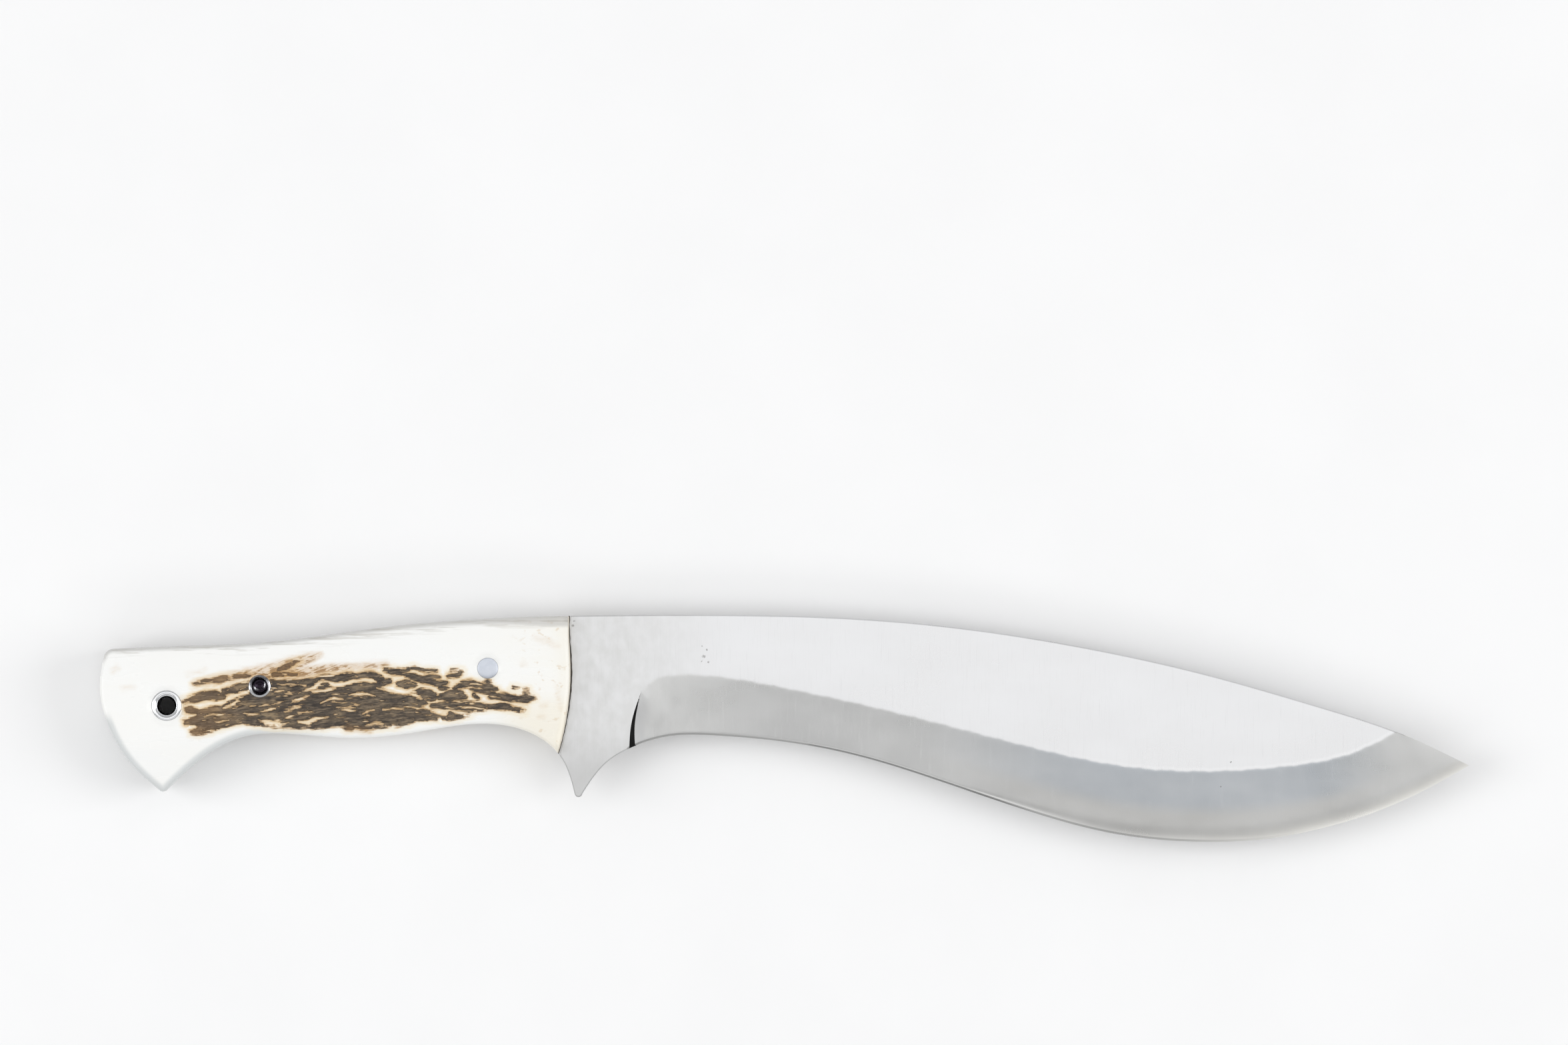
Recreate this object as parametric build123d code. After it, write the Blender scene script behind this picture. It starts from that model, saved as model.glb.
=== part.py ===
from build123d import *

import os
from math import radians, tan

# Kukri knife: one full-tang steel blade, two stag antler scales, and the pins that hold them.
#
# Millimetres. The knife lies on its back scale: X runs from the pommel (-X) to the point (+X),
# Y from the cutting edge (-Y) to the spine (+Y), and Z through the thickness of the blade.
# It is drawn about a datum on the spine, where the scales stop and the bare steel starts, with
# Z 0 in the middle of the blade. Last of all it is moved, so that the origin is the centre of
# the underside of its box.

# Steel
BLADE_THICK = 5.0
TANG_THICK = 4.6
BEVEL_FOOT_THICK = 0.9  # where the wide bevel would reach the outline, before honing
EDGE_THICK = 0.12  # left at the very edge
HONING_ANGLE = 22  # degrees from the middle plane, on each side
PLUNGE_WIDTH = 1.8  # how far the end wall of the bevel leans back at the edge

# Scales, glue and fasteners
GLUE_THICK = (BLADE_THICK - TANG_THICK) / 2
GLUE_SEAM_WIDTH = 0.5  # glue showing between the front of a scale and the bare steel
CROWN_HEIGHT = 9.6  # thickest place of a scale
SCALE_SIDE_HEIGHT = 3.0
SCALE_EDGE_RADIUS = 1.0
HOLE_CLEARANCE = 0.05

SOLID_PIN_RADIUS = 2.9
CUP_RIVET_RADIUS = 3.1
CUP_RADIUS = 2.4
CUP_DEPTH = 5.0
LANYARD_TUBE_RADIUS = 3.3
LANYARD_BORE_RADIUS = 2.3
LANYARD_MOUTH_RADIUS = 3.2
LANYARD_MOUTH_DEPTH = 1.4
LANYARD_FLANGE_RADIUS = 4.2
LANYARD_FLANGE_THICK = 0.6
LANYARD_FLANGE_SUNK = 0.35

SOLID_PIN_AT = (-22.8, -14.4)
CUP_RIVET_AT = (-86.3, -19.4)
LANYARD_AT = (-112.2, -24.8)

# Cutting tools
PROUD = 4.0  # how far a tool runs past what it cuts
TALL = 20.0
CLEAR_OF_HANDLE = 80.0  # past the outline of the handle on every side
PROBE_RADIUS = 0.05  # of the fine bar that feels how high the crown is
BEVEL_OVERRUN = 1.12  # length of each ruling of the bevel tool, against the bevel's own
HONING_REACH = 2.5
EDGE_STEPS = 24

# Places on the outline that its curves share
POINT = (250.8, -41.6)
SPUR_FRONT = (3.5, -49.4)
SPUR_FOOT = (2.4, -50.4)
SPUR_BACK = (1.3, -49.4)
POMMEL_TOE_FRONT = (-112.2, -48.2)
POMMEL_TOE = (-113.2, -48.8)
POMMEL_TOE_BACK = (-114.3, -48.4)
POMMEL_HEEL_BACK = (-129.9, -11.6)
POMMEL_HEEL = (-129.0, -9.8)
POMMEL_HEEL_TOP = (-127.2, -9.0)

SPINE_POINTS = [
    POMMEL_HEEL_TOP, (-104, -8.1), (-83, -7.0), (-62.5, -4.4), (-40, -1.8), (-16, -0.3),
    (10, 0.3), (42, 0.4), (75, -0.4), (105, -2.8), (142, -8.4), (179.4, -16.7),
    (209, -25.2), (231.4, -32.6), POINT,
]
EDGE_POINTS = [
    POINT, (238.8, -48.3), (224, -54.8), (209, -59.3), (194, -62.1), (179.4, -62.9),
    (164.5, -62.3), (149.6, -60.2), (127, -54.0), (105, -46.6), (82, -39.4), (60, -35.0),
    (40, -33.2), (27, -33.5), (17.5, -36.4), (10.4, -40.6), SPUR_FRONT,
]
HANDLE_BELLY_POINTS = [
    SPUR_BACK, (0, -44.6), (-3.2, -38.3), (-10.6, -32.6), (-23, -29.9), (-43.7, -32.4),
    (-62, -33.8), (-78, -32.7), (-90, -33.3), (-101, -38.4), POMMEL_TOE_FRONT,
]
POMMEL_END_POINTS = [
    POMMEL_TOE_BACK, (-122.6, -40.6), (-128.6, -30), (-130.9, -19.5), POMMEL_HEEL_BACK,
]
# Front edge of the scales, from above the spine to below the belly
SEAM_POINTS = [
    (0, PROUD), (-0.2, -5), (0.2, -14), (-0.3, -24), (-1.5, -31.5), (-3.4, -38.6),
    (-5, -43),
]
# The edge is ground from the point to the plunge; the choil and the spur stay at full thickness
SHARP_POINTS = EDGE_POINTS[:-2]
# Shoulder where the wide bevel leaves the flat of the blade, from the plunge to past the spine
SHOULDER_POINTS = [
    (19.9, -21), (22.9, -18), (29.5, -16.3), (40, -16.6), (60.8, -20.1), (86, -25.6),
    (111.3, -32), (136.6, -38.4), (156, -42), (178.7, -43.2), (200, -41.8), (218, -38.2),
    (232.5, -31),
]

# Crown of a scale, section by section: (x, y of the ridge, height, half width)
CROWN_SECTIONS = [
    (-137, -27, 8.0, 34), (-112, -26, 9.4, 32), (-86, -20.5, 9.5, 28),
    (-58, -18.5, CROWN_HEIGHT, 26), (-30, -16, 8.9, 27), (6, -19, 7.4, 30),
]


def knife_outline():
    """Flat shape of the steel, from pommel to point."""
    spine = Spline(*SPINE_POINTS)
    edge = Spline(*EDGE_POINTS)
    spur = ThreePointArc(SPUR_FRONT, SPUR_FOOT, SPUR_BACK)
    belly = Spline(*HANDLE_BELLY_POINTS)
    toe = ThreePointArc(POMMEL_TOE_FRONT, POMMEL_TOE, POMMEL_TOE_BACK)
    pommel_end = Spline(*POMMEL_END_POINTS)
    heel = ThreePointArc(POMMEL_HEEL_BACK, POMMEL_HEEL, POMMEL_HEEL_TOP)
    return make_face([spine, edge, spur, belly, toe, pommel_end, heel])


def behind_seam(ahead=0.0):
    """Flat region behind the scales' front edge, moved ahead by a distance."""
    seam = Spline(*SEAM_POINTS)
    back = POMMEL_HEEL[0] - CLEAR_OF_HANDLE
    around = Polyline(SEAM_POINTS[-1], (SEAM_POINTS[-1][0], -CLEAR_OF_HANDLE),
                      (back, -CLEAR_OF_HANDLE), (back, PROUD), SEAM_POINTS[0])
    return Pos(ahead, 0, 0) * make_face([seam, around])


def slab(flat, low, high):
    """The flat shape made solid between two heights."""
    return Pos(0, 0, low) * extrude(flat, amount=high - low, dir=(0, 0, 1))


def bar(place, radius, low, high):
    """Round bar through the handle at a place in plan, between two heights."""
    return Pos(*place, (low + high) / 2) * Cylinder(radius, high - low)


def at_height(place, z):
    """Point above a place in plan."""
    return Vector(place[0], place[1], z)


def wide_bevel_tools():
    """What the wheel takes off the +Z side: the wide bevel, and the plunge it stops at."""
    shoulder = Spline(*[at_height(p, BLADE_THICK / 2) for p in SHOULDER_POINTS])
    foot = Spline(*[at_height(p, BEVEL_FOOT_THICK / 2) for p in SHARP_POINTS])
    past_foot = []
    for t in along_edge():
        high, low = shoulder @ t, foot @ (1 - t)
        past_foot.append(high + (low - high) * BEVEL_OVERRUN)
    bevel = Face.make_surface_from_curves(shoulder, Spline(*past_foot))
    corner, low_corner = shoulder @ 0, past_foot[0]
    leaning = low_corner + Vector(-PLUNGE_WIDTH * BEVEL_OVERRUN, 0, corner.Z - low_corner.Z)
    plunge = Face(Wire.make_polygon([corner, low_corner, leaning]))
    return [raised(bevel), raised(plunge)]


def honing_tool():
    """What the stone takes off the +Z side of the cutting edge."""
    edge = Spline(*[at_height(p, EDGE_THICK / 2) for p in SHARP_POINTS])
    slope = tan(radians(HONING_ANGLE))
    inside, outside = [], []
    for t in along_edge():
        here, along = edge @ (1 - t), edge % (1 - t)
        uphill = Vector(along.Y, -along.X, slope)
        inside.append(here + uphill * HONING_REACH)
        outside.append(here - uphill)
    return raised(Face.make_surface_from_curves(Spline(*inside), Spline(*outside)))


def along_edge():
    """Even steps from one end of a long curve to the other."""
    return [i / EDGE_STEPS for i in range(EDGE_STEPS + 1)]


def raised(face):
    """Everything above a face, as a cutting tool."""
    return extrude(face, amount=TALL / 2, dir=(0, 0, 1))


def blade():
    """Blade, guard spur and tang in one plate of steel, ground on both sides."""
    flat = knife_outline()
    plate = slab(flat, -BLADE_THICK / 2, BLADE_THICK / 2)
    tang_region = behind_seam(GLUE_SEAM_WIDTH)
    for side in (1, -1):
        low, high = sorted((side * TANG_THICK / 2, side * TALL))
        plate -= slab(tang_region, low, high)
    for tool in [*wide_bevel_tools(), honing_tool()]:
        plate -= tool
        plate -= mirror(tool, about=Plane.XY)
    for place, radius in fastener_holes():
        plate -= bar(place, radius, -TALL, TALL)
    return plate


def fastener_holes():
    """Where the handle is drilled, and how wide."""
    return [
        (SOLID_PIN_AT, SOLID_PIN_RADIUS + HOLE_CLEARANCE),
        (CUP_RIVET_AT, CUP_RIVET_RADIUS + HOLE_CLEARANCE),
        (LANYARD_AT, LANYARD_TUBE_RADIUS + HOLE_CLEARANCE),
    ]


def crown():
    """Rounded body on top of the blade's plane that gives a scale its thickness."""
    base = BLADE_THICK / 2
    side = base + SCALE_SIDE_HEIGHT
    sections = []
    for x, ridge_y, height, half_width in CROWN_SECTIONS:
        left, right = ridge_y - half_width, ridge_y + half_width
        foot = Polyline((x, left, side), (x, left, base), (x, right, base), (x, right, side))
        ridge = ThreePointArc((x, right, side), (x, ridge_y, base + height), (x, left, side))
        sections.append(Face(Wire([*foot.edges(), *ridge.edges()])))
    return loft(sections)


def front_scale(crowned):
    """Antler slab on the +Z side, crowned on top and drilled for the fasteners."""
    base = BLADE_THICK / 2
    footprint = knife_outline() & behind_seam()
    block = slab(footprint, base, base + CROWN_HEIGHT + PROUD) & crowned
    rim = block.faces().sort_by(Axis.Z)[-1].edges()
    scale = fillet(rim, SCALE_EDGE_RADIUS)
    for place, radius in fastener_holes():
        scale -= bar(place, radius, 0, TALL)
    seat = lanyard_seat(crowned)
    return scale - bar(LANYARD_AT, LANYARD_FLANGE_RADIUS + HOLE_CLEARANCE, seat, TALL)


def lanyard_seat(crowned):
    """Height of the spot face that a flange of the lanyard tube sits on."""
    probe = bar(LANYARD_AT, PROBE_RADIUS, 0, TALL) & crowned
    return probe.bounding_box().max.Z - LANYARD_FLANGE_SUNK


def glue_film():
    """Cured glue between the tang and the front scale, showing as a seam ahead of it."""
    footprint = knife_outline() & behind_seam(GLUE_SEAM_WIDTH)
    film = slab(footprint, TANG_THICK / 2, BLADE_THICK / 2)
    for place, radius in fastener_holes():
        film -= bar(place, radius, 0, TALL)
    return film


def flush_bar(place, radius, crowned):
    """Round bar through the handle, ground flush with both scales."""
    half = BLADE_THICK / 2
    end = bar(place, radius, half, TALL) & crowned
    return bar(place, radius, -half, half) + end + mirror(end, about=Plane.XY)


def solid_pin(crowned):
    """Plain pin nearest the blade."""
    return flush_bar(SOLID_PIN_AT, SOLID_PIN_RADIUS, crowned)


def cup_rivet(crowned):
    """Rivet in the middle of the handle, with a round-bottomed cup in each end."""
    rivet = flush_bar(CUP_RIVET_AT, CUP_RIVET_RADIUS, crowned)
    bottom_centre = rivet.bounding_box().max.Z - CUP_DEPTH + CUP_RADIUS
    cup = bar(CUP_RIVET_AT, CUP_RADIUS, bottom_centre, TALL)
    cup += Pos(*CUP_RIVET_AT, bottom_centre) * Sphere(CUP_RADIUS)
    return rivet - cup - mirror(cup, about=Plane.XY)


def lanyard_tube(crowned):
    """Tube through the pommel with a flared, flanged mouth on each side."""
    seat = lanyard_seat(crowned)
    face = seat + LANYARD_FLANGE_THICK
    flange = bar(LANYARD_AT, LANYARD_FLANGE_RADIUS, seat, face)
    flange = fillet(flange.edges().sort_by(Axis.Z)[-1], LANYARD_FLANGE_THICK / 2)
    mouth = Pos(*LANYARD_AT, face - LANYARD_MOUTH_DEPTH / 2) * Cone(
        LANYARD_BORE_RADIUS, LANYARD_MOUTH_RADIUS, LANYARD_MOUTH_DEPTH)
    tube = bar(LANYARD_AT, LANYARD_TUBE_RADIUS, -face, face)
    tube = tube + flange + mirror(flange, about=Plane.XY)
    tube = tube - bar(LANYARD_AT, LANYARD_BORE_RADIUS, -TALL, TALL)
    return tube - mouth - mirror(mouth, about=Plane.XY)


def main():
    crowned = crown()
    scale, film = front_scale(crowned), glue_film()
    parts = {
        "blade": blade(),
        "front_scale": scale,
        "back_scale": mirror(scale, about=Plane.XY),
        "front_glue_film": film,
        "back_glue_film": mirror(film, about=Plane.XY),
        "solid_pin": solid_pin(crowned),
        "cup_rivet": cup_rivet(crowned),
        "lanyard_tube": lanyard_tube(crowned),
    }
    box = Compound([solid for part in parts.values() for solid in part.solids()])
    box = box.bounding_box(optimal=True)
    to_origin = Pos(-box.center().X, -box.center().Y, -box.min.Z)
    print("datum of the drawing is at", [round(v, 3) for v in to_origin.position])
    os.makedirs("parts", exist_ok=True)
    for name, part in parts.items():
        export_step(to_origin * part, f"parts/{name}.step")


main()
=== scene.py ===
"""Kukri knife: detailed steel, stag antler, glue and pins, laid round the CAD model of the knife.

Shapes are drawn in millimetres about the drawing's datum, on the spine where the scales stop
and the bare steel starts, with Z 0 in the middle of the blade. frame_points turns drawn places
into places in the CAD frame, in metres.
"""
import math
from functools import lru_cache, partial, reduce

import bmesh
import bpy
import numpy as np
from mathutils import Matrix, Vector
from mathutils.geometry import delaunay_2d_cdt
from mathutils.kdtree import KDTree


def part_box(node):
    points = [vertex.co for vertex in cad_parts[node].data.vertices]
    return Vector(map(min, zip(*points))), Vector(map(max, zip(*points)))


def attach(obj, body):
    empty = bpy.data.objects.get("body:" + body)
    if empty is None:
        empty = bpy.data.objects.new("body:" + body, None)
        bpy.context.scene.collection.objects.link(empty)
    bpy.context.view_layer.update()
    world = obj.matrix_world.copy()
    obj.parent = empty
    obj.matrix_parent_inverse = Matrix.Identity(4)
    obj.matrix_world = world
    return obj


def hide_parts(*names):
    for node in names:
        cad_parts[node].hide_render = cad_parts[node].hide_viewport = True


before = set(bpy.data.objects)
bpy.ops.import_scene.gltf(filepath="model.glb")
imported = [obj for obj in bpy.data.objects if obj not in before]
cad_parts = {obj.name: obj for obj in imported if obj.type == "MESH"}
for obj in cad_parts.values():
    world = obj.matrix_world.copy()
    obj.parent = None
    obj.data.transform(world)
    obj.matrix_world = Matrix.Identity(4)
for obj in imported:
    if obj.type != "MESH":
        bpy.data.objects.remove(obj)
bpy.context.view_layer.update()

MM = 0.001
PER_METRE = (1000, 1000, 1000)
BODY = "root"

# ---------------------------------------------------------------- the drawing, in millimetres

BARE_STEEL = 250.8  # from the datum to the point
SPINE_RISE = 0.43  # highest place of the spine above the datum
BLADE_HALF = 2.5
TANG_HALF = 2.3

POINT = (250.8, -41.6)
SPUR_FRONT = (3.5, -49.4)
SPUR_FOOT = (2.4, -50.4)
SPUR_BACK = (1.3, -49.4)
TOE_FRONT = (-112.2, -48.2)
TOE = (-113.2, -48.8)
TOE_BACK = (-114.3, -48.4)
HEEL_BACK = (-129.9, -11.6)
HEEL = (-129.0, -9.8)
HEEL_TOP = (-127.2, -9.0)
SPINE = [
    HEEL_TOP, (-104, -8.1), (-83, -7.0), (-62.5, -4.4), (-40, -1.8), (-16, -0.3), (10, 0.3),
    (42, 0.4), (75, -0.4), (105, -2.8), (142, -8.4), (179.4, -16.7), (209, -25.2),
    (231.4, -32.6), POINT,
]
CUTTING_EDGE = [
    POINT, (238.8, -48.3), (224, -54.8), (209, -59.3), (194, -62.1), (179.4, -62.9),
    (164.5, -62.3), (149.6, -60.2), (127, -54.0), (105, -46.6), (82, -39.4), (60, -35.0),
    (40, -33.2), (27, -33.5), (17.5, -36.4), (10.4, -40.6), SPUR_FRONT,
]
BELLY = [
    SPUR_BACK, (0, -44.6), (-3.2, -38.3), (-10.6, -32.6), (-23, -29.9), (-43.7, -32.4),
    (-62, -33.8), (-78, -32.7), (-90, -33.3), (-101, -38.4), TOE_FRONT,
]
POMMEL_END = [TOE_BACK, (-122.6, -40.6), (-128.6, -30), (-130.9, -19.5), HEEL_BACK]
SEAM = [
    (0, 4), (-0.2, -5), (0.2, -14), (-0.3, -24), (-1.5, -31.5), (-3.4, -38.6), (-5, -43),
]
SHOULDER = [
    (19.9, -21), (22.9, -18), (29.5, -16.3), (40, -16.6), (60.8, -20.1), (86, -25.6),
    (111.3, -32), (136.6, -38.4), (156, -42), (178.7, -43.2), (200, -41.8), (218, -38.2),
    (232.5, -31),
]
PLUNGE = [(20.0, -20.6), (18.6, -24.5), (17.2, -29.5), (16.5, -37.5)]

# Crown of a scale, section by section: x, y of the ridge, height over the blade, half width
CROWN = [
    (-137, -27, 8.0, 34), (-112, -26, 9.4, 32), (-86, -20.5, 9.5, 28), (-58, -18.5, 9.6, 26),
    (-30, -16, 8.9, 27), (6, -19, 7.4, 30),
]
CROWN_SIDE = 3.0

# Stretch of the handle that the natural bark is left on
BARK_TOP = [
    (-109.5, -24.5), (-104.7, -18.9), (-97, -17.6), (-88, -15.8), (-79, -12.6), (-70, -10.6),
    (-60, -12.2), (-51, -13.2), (-40, -13.6), (-30, -15), (-20, -18.5), (-9, -23),
]
BARK_FOOT = [
    (-9, -23), (-11.5, -26.6), (-20, -27.2), (-33, -28.8), (-44, -30.6), (-58, -31.8),
    (-75, -31.4), (-88, -31.2), (-97, -32.4), (-105, -33.6), (-109.5, -30), (-109.5, -24.5),
]


def centre(node):
    """Middle of a CAD node's box."""
    low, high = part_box(node)
    return (Vector(low) + Vector(high)) / 2


def datum():
    """The drawing's datum in the CAD frame."""
    high = Vector(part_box("blade")[1])
    return Vector((high.x - BARE_STEEL * MM, high.y - SPINE_RISE * MM, centre("blade").z))


DATUM = datum()


def drawn_place(node):
    """Where a CAD node's middle is in the drawing, in plan."""
    return tuple((centre(node) - DATUM) / MM)[:2]


SOLID_PIN_AT = drawn_place("solid_pin")
CUP_RIVET_AT = drawn_place("cup_rivet")
LANYARD_AT = drawn_place("lanyard_tube")
PIN_RADIUS = 2.9
RIVET_RADIUS = 3.1
TUBE_RADIUS = 3.3
BORE_RADIUS = 2.3
FLANGE_RADIUS = 4.2
HOLE_ROOM = 0.02  # between a fastener and the hole it goes through


# ---------------------------------------------------------------- curves and plan geometry

ROW_SPACING = 0.866  # between rows of a triangular grid, for points one apart in each
CLEAR_OF_LINE = 0.12  # least room between a mesh's free points and its lines


def natural_cubic(knots, values, at):
    """Smooth curve through values at knots, read at other places."""
    step, count = np.diff(knots), len(knots)
    matrix, right = np.eye(count), np.zeros(count)
    for i in range(1, count - 1):
        matrix[i, i - 1:i + 2] = step[i - 1], 2 * (step[i - 1] + step[i]), step[i]
        rise_after = (values[i + 1] - values[i]) / step[i]
        rise_before = (values[i] - values[i - 1]) / step[i - 1]
        right[i] = 6 * (rise_after - rise_before)
    bend = np.linalg.solve(matrix, right)
    k = np.clip(np.searchsorted(knots, at, side="right") - 1, 0, count - 2)
    a, b, h = knots[k + 1] - at, at - knots[k], step[k]
    curved = (bend[k] * a ** 3 + bend[k + 1] * b ** 3) / (6 * h)
    return (curved + (values[k] / h - bend[k] * h / 6) * a
            + (values[k + 1] / h - bend[k + 1] * h / 6) * b)


def curve(points, step):
    """Points about a step apart along the smooth curve through the given ones."""
    p = np.array(points, float)
    along = np.r_[0, np.cumsum(np.linalg.norm(np.diff(p, axis=0), axis=1))]
    at = np.linspace(0, along[-1], int(round(along[-1] / step)) + 1)
    return np.column_stack([natural_cubic(along, p[:, k], at) for k in (0, 1)])


def arc(start, via, end, count=8):
    """Points along the circle arc from start through via to end."""
    a, b, c = (complex(*p) for p in (start, via, end))
    w = (c - a) / (b - a)
    middle = a + (b - a) * (w - abs(w) ** 2) / (w - w.conjugate())
    turn_via = np.angle((b - middle) / (a - middle)) % (2 * math.pi)
    turn = np.angle((c - middle) / (a - middle)) % (2 * math.pi)
    turn = turn if turn_via < turn else turn - 2 * math.pi
    z = middle + (a - middle) * np.exp(1j * np.linspace(0, turn, count))
    return np.column_stack([z.real, z.imag])


def joined(*pieces):
    """Pieces that meet end to end as one line, which stops short of its last point."""
    return np.vstack([piece[:-1] for piece in pieces])


def knife_outline(step=0.7):
    """Closed outline of the steel, clockwise from the pommel's heel along the spine."""
    return joined(
        curve(SPINE, step), curve(CUTTING_EDGE, step), arc(SPUR_FRONT, SPUR_FOOT, SPUR_BACK),
        curve(BELLY, step), arc(TOE_FRONT, TOE, TOE_BACK), curve(POMMEL_END, step),
        arc(HEEL_BACK, HEEL, HEEL_TOP))


def in_chunks(work, points, size=3000):
    """Runs work on a few points at a time, and joins its results."""
    return np.concatenate([work(points[i:i + size]) for i in range(0, len(points), size)])


def signed_distance(points, line):
    """Distance to a line of short runs, positive on its left."""
    tree = KDTree(len(line))
    for i, (x, y) in enumerate(line):
        tree.insert((x, y, 0), i)
    tree.balance()
    nearest = np.array([tree.find((x, y, 0))[1] for x, y in points])
    start, run = line[:-1], np.diff(line, axis=0)
    is_closed = np.allclose(line[0], line[-1])
    best, side = np.full(len(points), np.inf), np.ones(len(points))
    for neighbour in (-2, -1, 0, 1):
        at = nearest + neighbour
        at = at % len(run) if is_closed else np.clip(at, 0, len(run) - 1)
        away, along = points - start[at], run[at]
        t = np.clip((away * along).sum(1) / (along ** 2).sum(1), 0, 1)
        off = np.linalg.norm(away - t[:, None] * along, axis=1)
        turn = np.where(along[:, 0] * away[:, 1] - along[:, 1] * away[:, 0] >= 0, 1, -1)
        side = np.where(off < best - 1e-9, turn, side)
        best = np.minimum(off, best)
    return best * side


def closed(line):
    """A line with its first point added again at its end."""
    return np.vstack([line, line[:1]])


def inside(points, polygon):
    """Which points lie inside a closed line."""
    a, b = polygon, np.roll(polygon, -1, axis=0)

    def work(p):
        x, y = p[:, :1], p[:, 1:]
        crosses = (a[:, 1] > y) != (b[:, 1] > y)
        with np.errstate(divide="ignore", invalid="ignore"):
            at = a[:, 0] + (y - a[:, 1]) / (b[:, 1] - a[:, 1]) * (b[:, 0] - a[:, 0])
        return (crosses & (x < at)).sum(1) % 2 == 1

    return in_chunks(work, points)


def even_points(polygon, step, margin):
    """Points on a triangular grid inside a closed line, clear of it by a margin."""
    low, high = polygon.min(0), polygon.max(0)
    rows = []
    for i, y in enumerate(np.arange(low[1], high[1], step * ROW_SPACING)):
        x = np.arange(low[0] + (i % 2) * step / 2, high[0], step)
        rows.append(np.column_stack([x, np.full(len(x), y)]))
    points = np.vstack(rows)
    points = points[inside(points, polygon)]
    return points[np.abs(signed_distance(points, closed(polygon))) > margin]


def inset(polygon, distance):
    """Points a distance inside a clockwise closed line, where there is room for them."""
    ahead, behind = np.roll(polygon, -1, axis=0), np.roll(polygon, 1, axis=0)
    along = ahead - behind
    along /= np.linalg.norm(along, axis=1)[:, None]
    points = polygon + np.column_stack([along[:, 1], -along[:, 0]]) * distance
    return points[np.abs(signed_distance(points, closed(polygon))) > 0.97 * distance]


def ring(place, radius, count=48):
    """Closed circle in plan."""
    turn = np.linspace(0, 2 * math.pi, count, endpoint=False)
    return np.column_stack([place[0] + radius * np.cos(turn), place[1] + radius * np.sin(turn)])


def drilled(at_lanyard):
    """Holes for the three fasteners, the lanyard tube's of a given radius."""
    sizes = ((SOLID_PIN_AT, PIN_RADIUS), (CUP_RIVET_AT, RIVET_RADIUS), (LANYARD_AT, at_lanyard))
    return [ring(place, radius + HOLE_ROOM) for place, radius in sizes]


def clear_of(points, holes):
    """The points that lie outside the holes, with room to spare."""
    for hole in holes:
        points = points[~inside(points, hole)]
        points = points[np.abs(signed_distance(points, closed(hole))) > CLEAR_OF_LINE]
    return points


def smoothstep(value, low, high):
    """Soft step from 0 at the low value to 1 at the high one."""
    t = np.clip((value - low) / (high - low), 0, 1)
    return t * t * (3 - 2 * t)


def soft_min(a, b, softness):
    """The lesser of two heights, rounded where they meet."""
    return np.minimum(a, b) - softness * np.log1p(np.exp(-np.abs(a - b) / softness))


# ---------------------------------------------------------------- meshes

def triangles(boundary, lines=(), points=None, holes=()):
    """Triangles that fill a closed line, keep to the given lines, and leave the holes open."""
    loops = [boundary, *holes]
    vertices, edges = [], []
    for line in loops:
        first = len(vertices)
        vertices += [Vector(p) for p in line]
        edges += [(first + i, first + (i + 1) % len(line)) for i in range(len(line))]
    for line in lines:
        first = len(vertices)
        vertices += [Vector(p) for p in line]
        edges += [(first + i, first + i + 1) for i in range(len(line) - 1)]
    if points is not None:
        vertices += [Vector(p) for p in points]
    made, _, faces, *_ = delaunay_2d_cdt(vertices, edges, [], 0, 1e-6)
    plan = np.array([tuple(v) for v in made])
    faces = np.array([tuple(f) for f in faces])
    middle = plan[faces].mean(1)
    keep = inside(middle, boundary)
    for hole in holes:
        keep &= ~inside(middle, hole)
    faces = faces[keep]
    used = np.unique(faces)
    renumber = np.full(len(plan), -1)
    renumber[used] = np.arange(len(used))
    return plan[used], renumber[faces]


def rim_edges(faces):
    """Edges that only one triangle has, in that triangle's direction."""
    edges = np.vstack([faces[:, [0, 1]], faces[:, [1, 2]], faces[:, [2, 0]]])
    pair = np.sort(edges, axis=1)
    _, first, count = np.unique(pair, axis=0, return_index=True, return_counts=True)
    return edges[first[count == 1]]


def frame_points(xyz):
    """Drawn places, in millimetres, as places in the CAD frame, in metres."""
    return np.asarray(xyz) * MM + np.array(DATUM)


def add_object(name, vertices, faces, sharp_degrees):
    """Mesh object from drawn vertices, closed and facing outwards, smooth but for its corners."""
    mesh = bpy.data.meshes.new(name)
    mesh.from_pydata(frame_points(vertices).tolist(), [], [list(map(int, f)) for f in faces])
    mesh.validate()
    obj = bpy.data.objects.new(name, mesh)
    bpy.context.scene.collection.objects.link(obj)
    finish_mesh(mesh, sharp_degrees)
    return obj


def finish_mesh(mesh, sharp_degrees):
    """Turns every face outwards, and shades it smooth up to an angle."""
    work = bmesh.new()
    work.from_mesh(mesh)
    bmesh.ops.recalc_face_normals(work, faces=work.faces)
    work.to_mesh(mesh)
    work.free()
    mesh.shade_smooth()
    mesh.set_sharp_from_angle(angle=math.radians(sharp_degrees))


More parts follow.
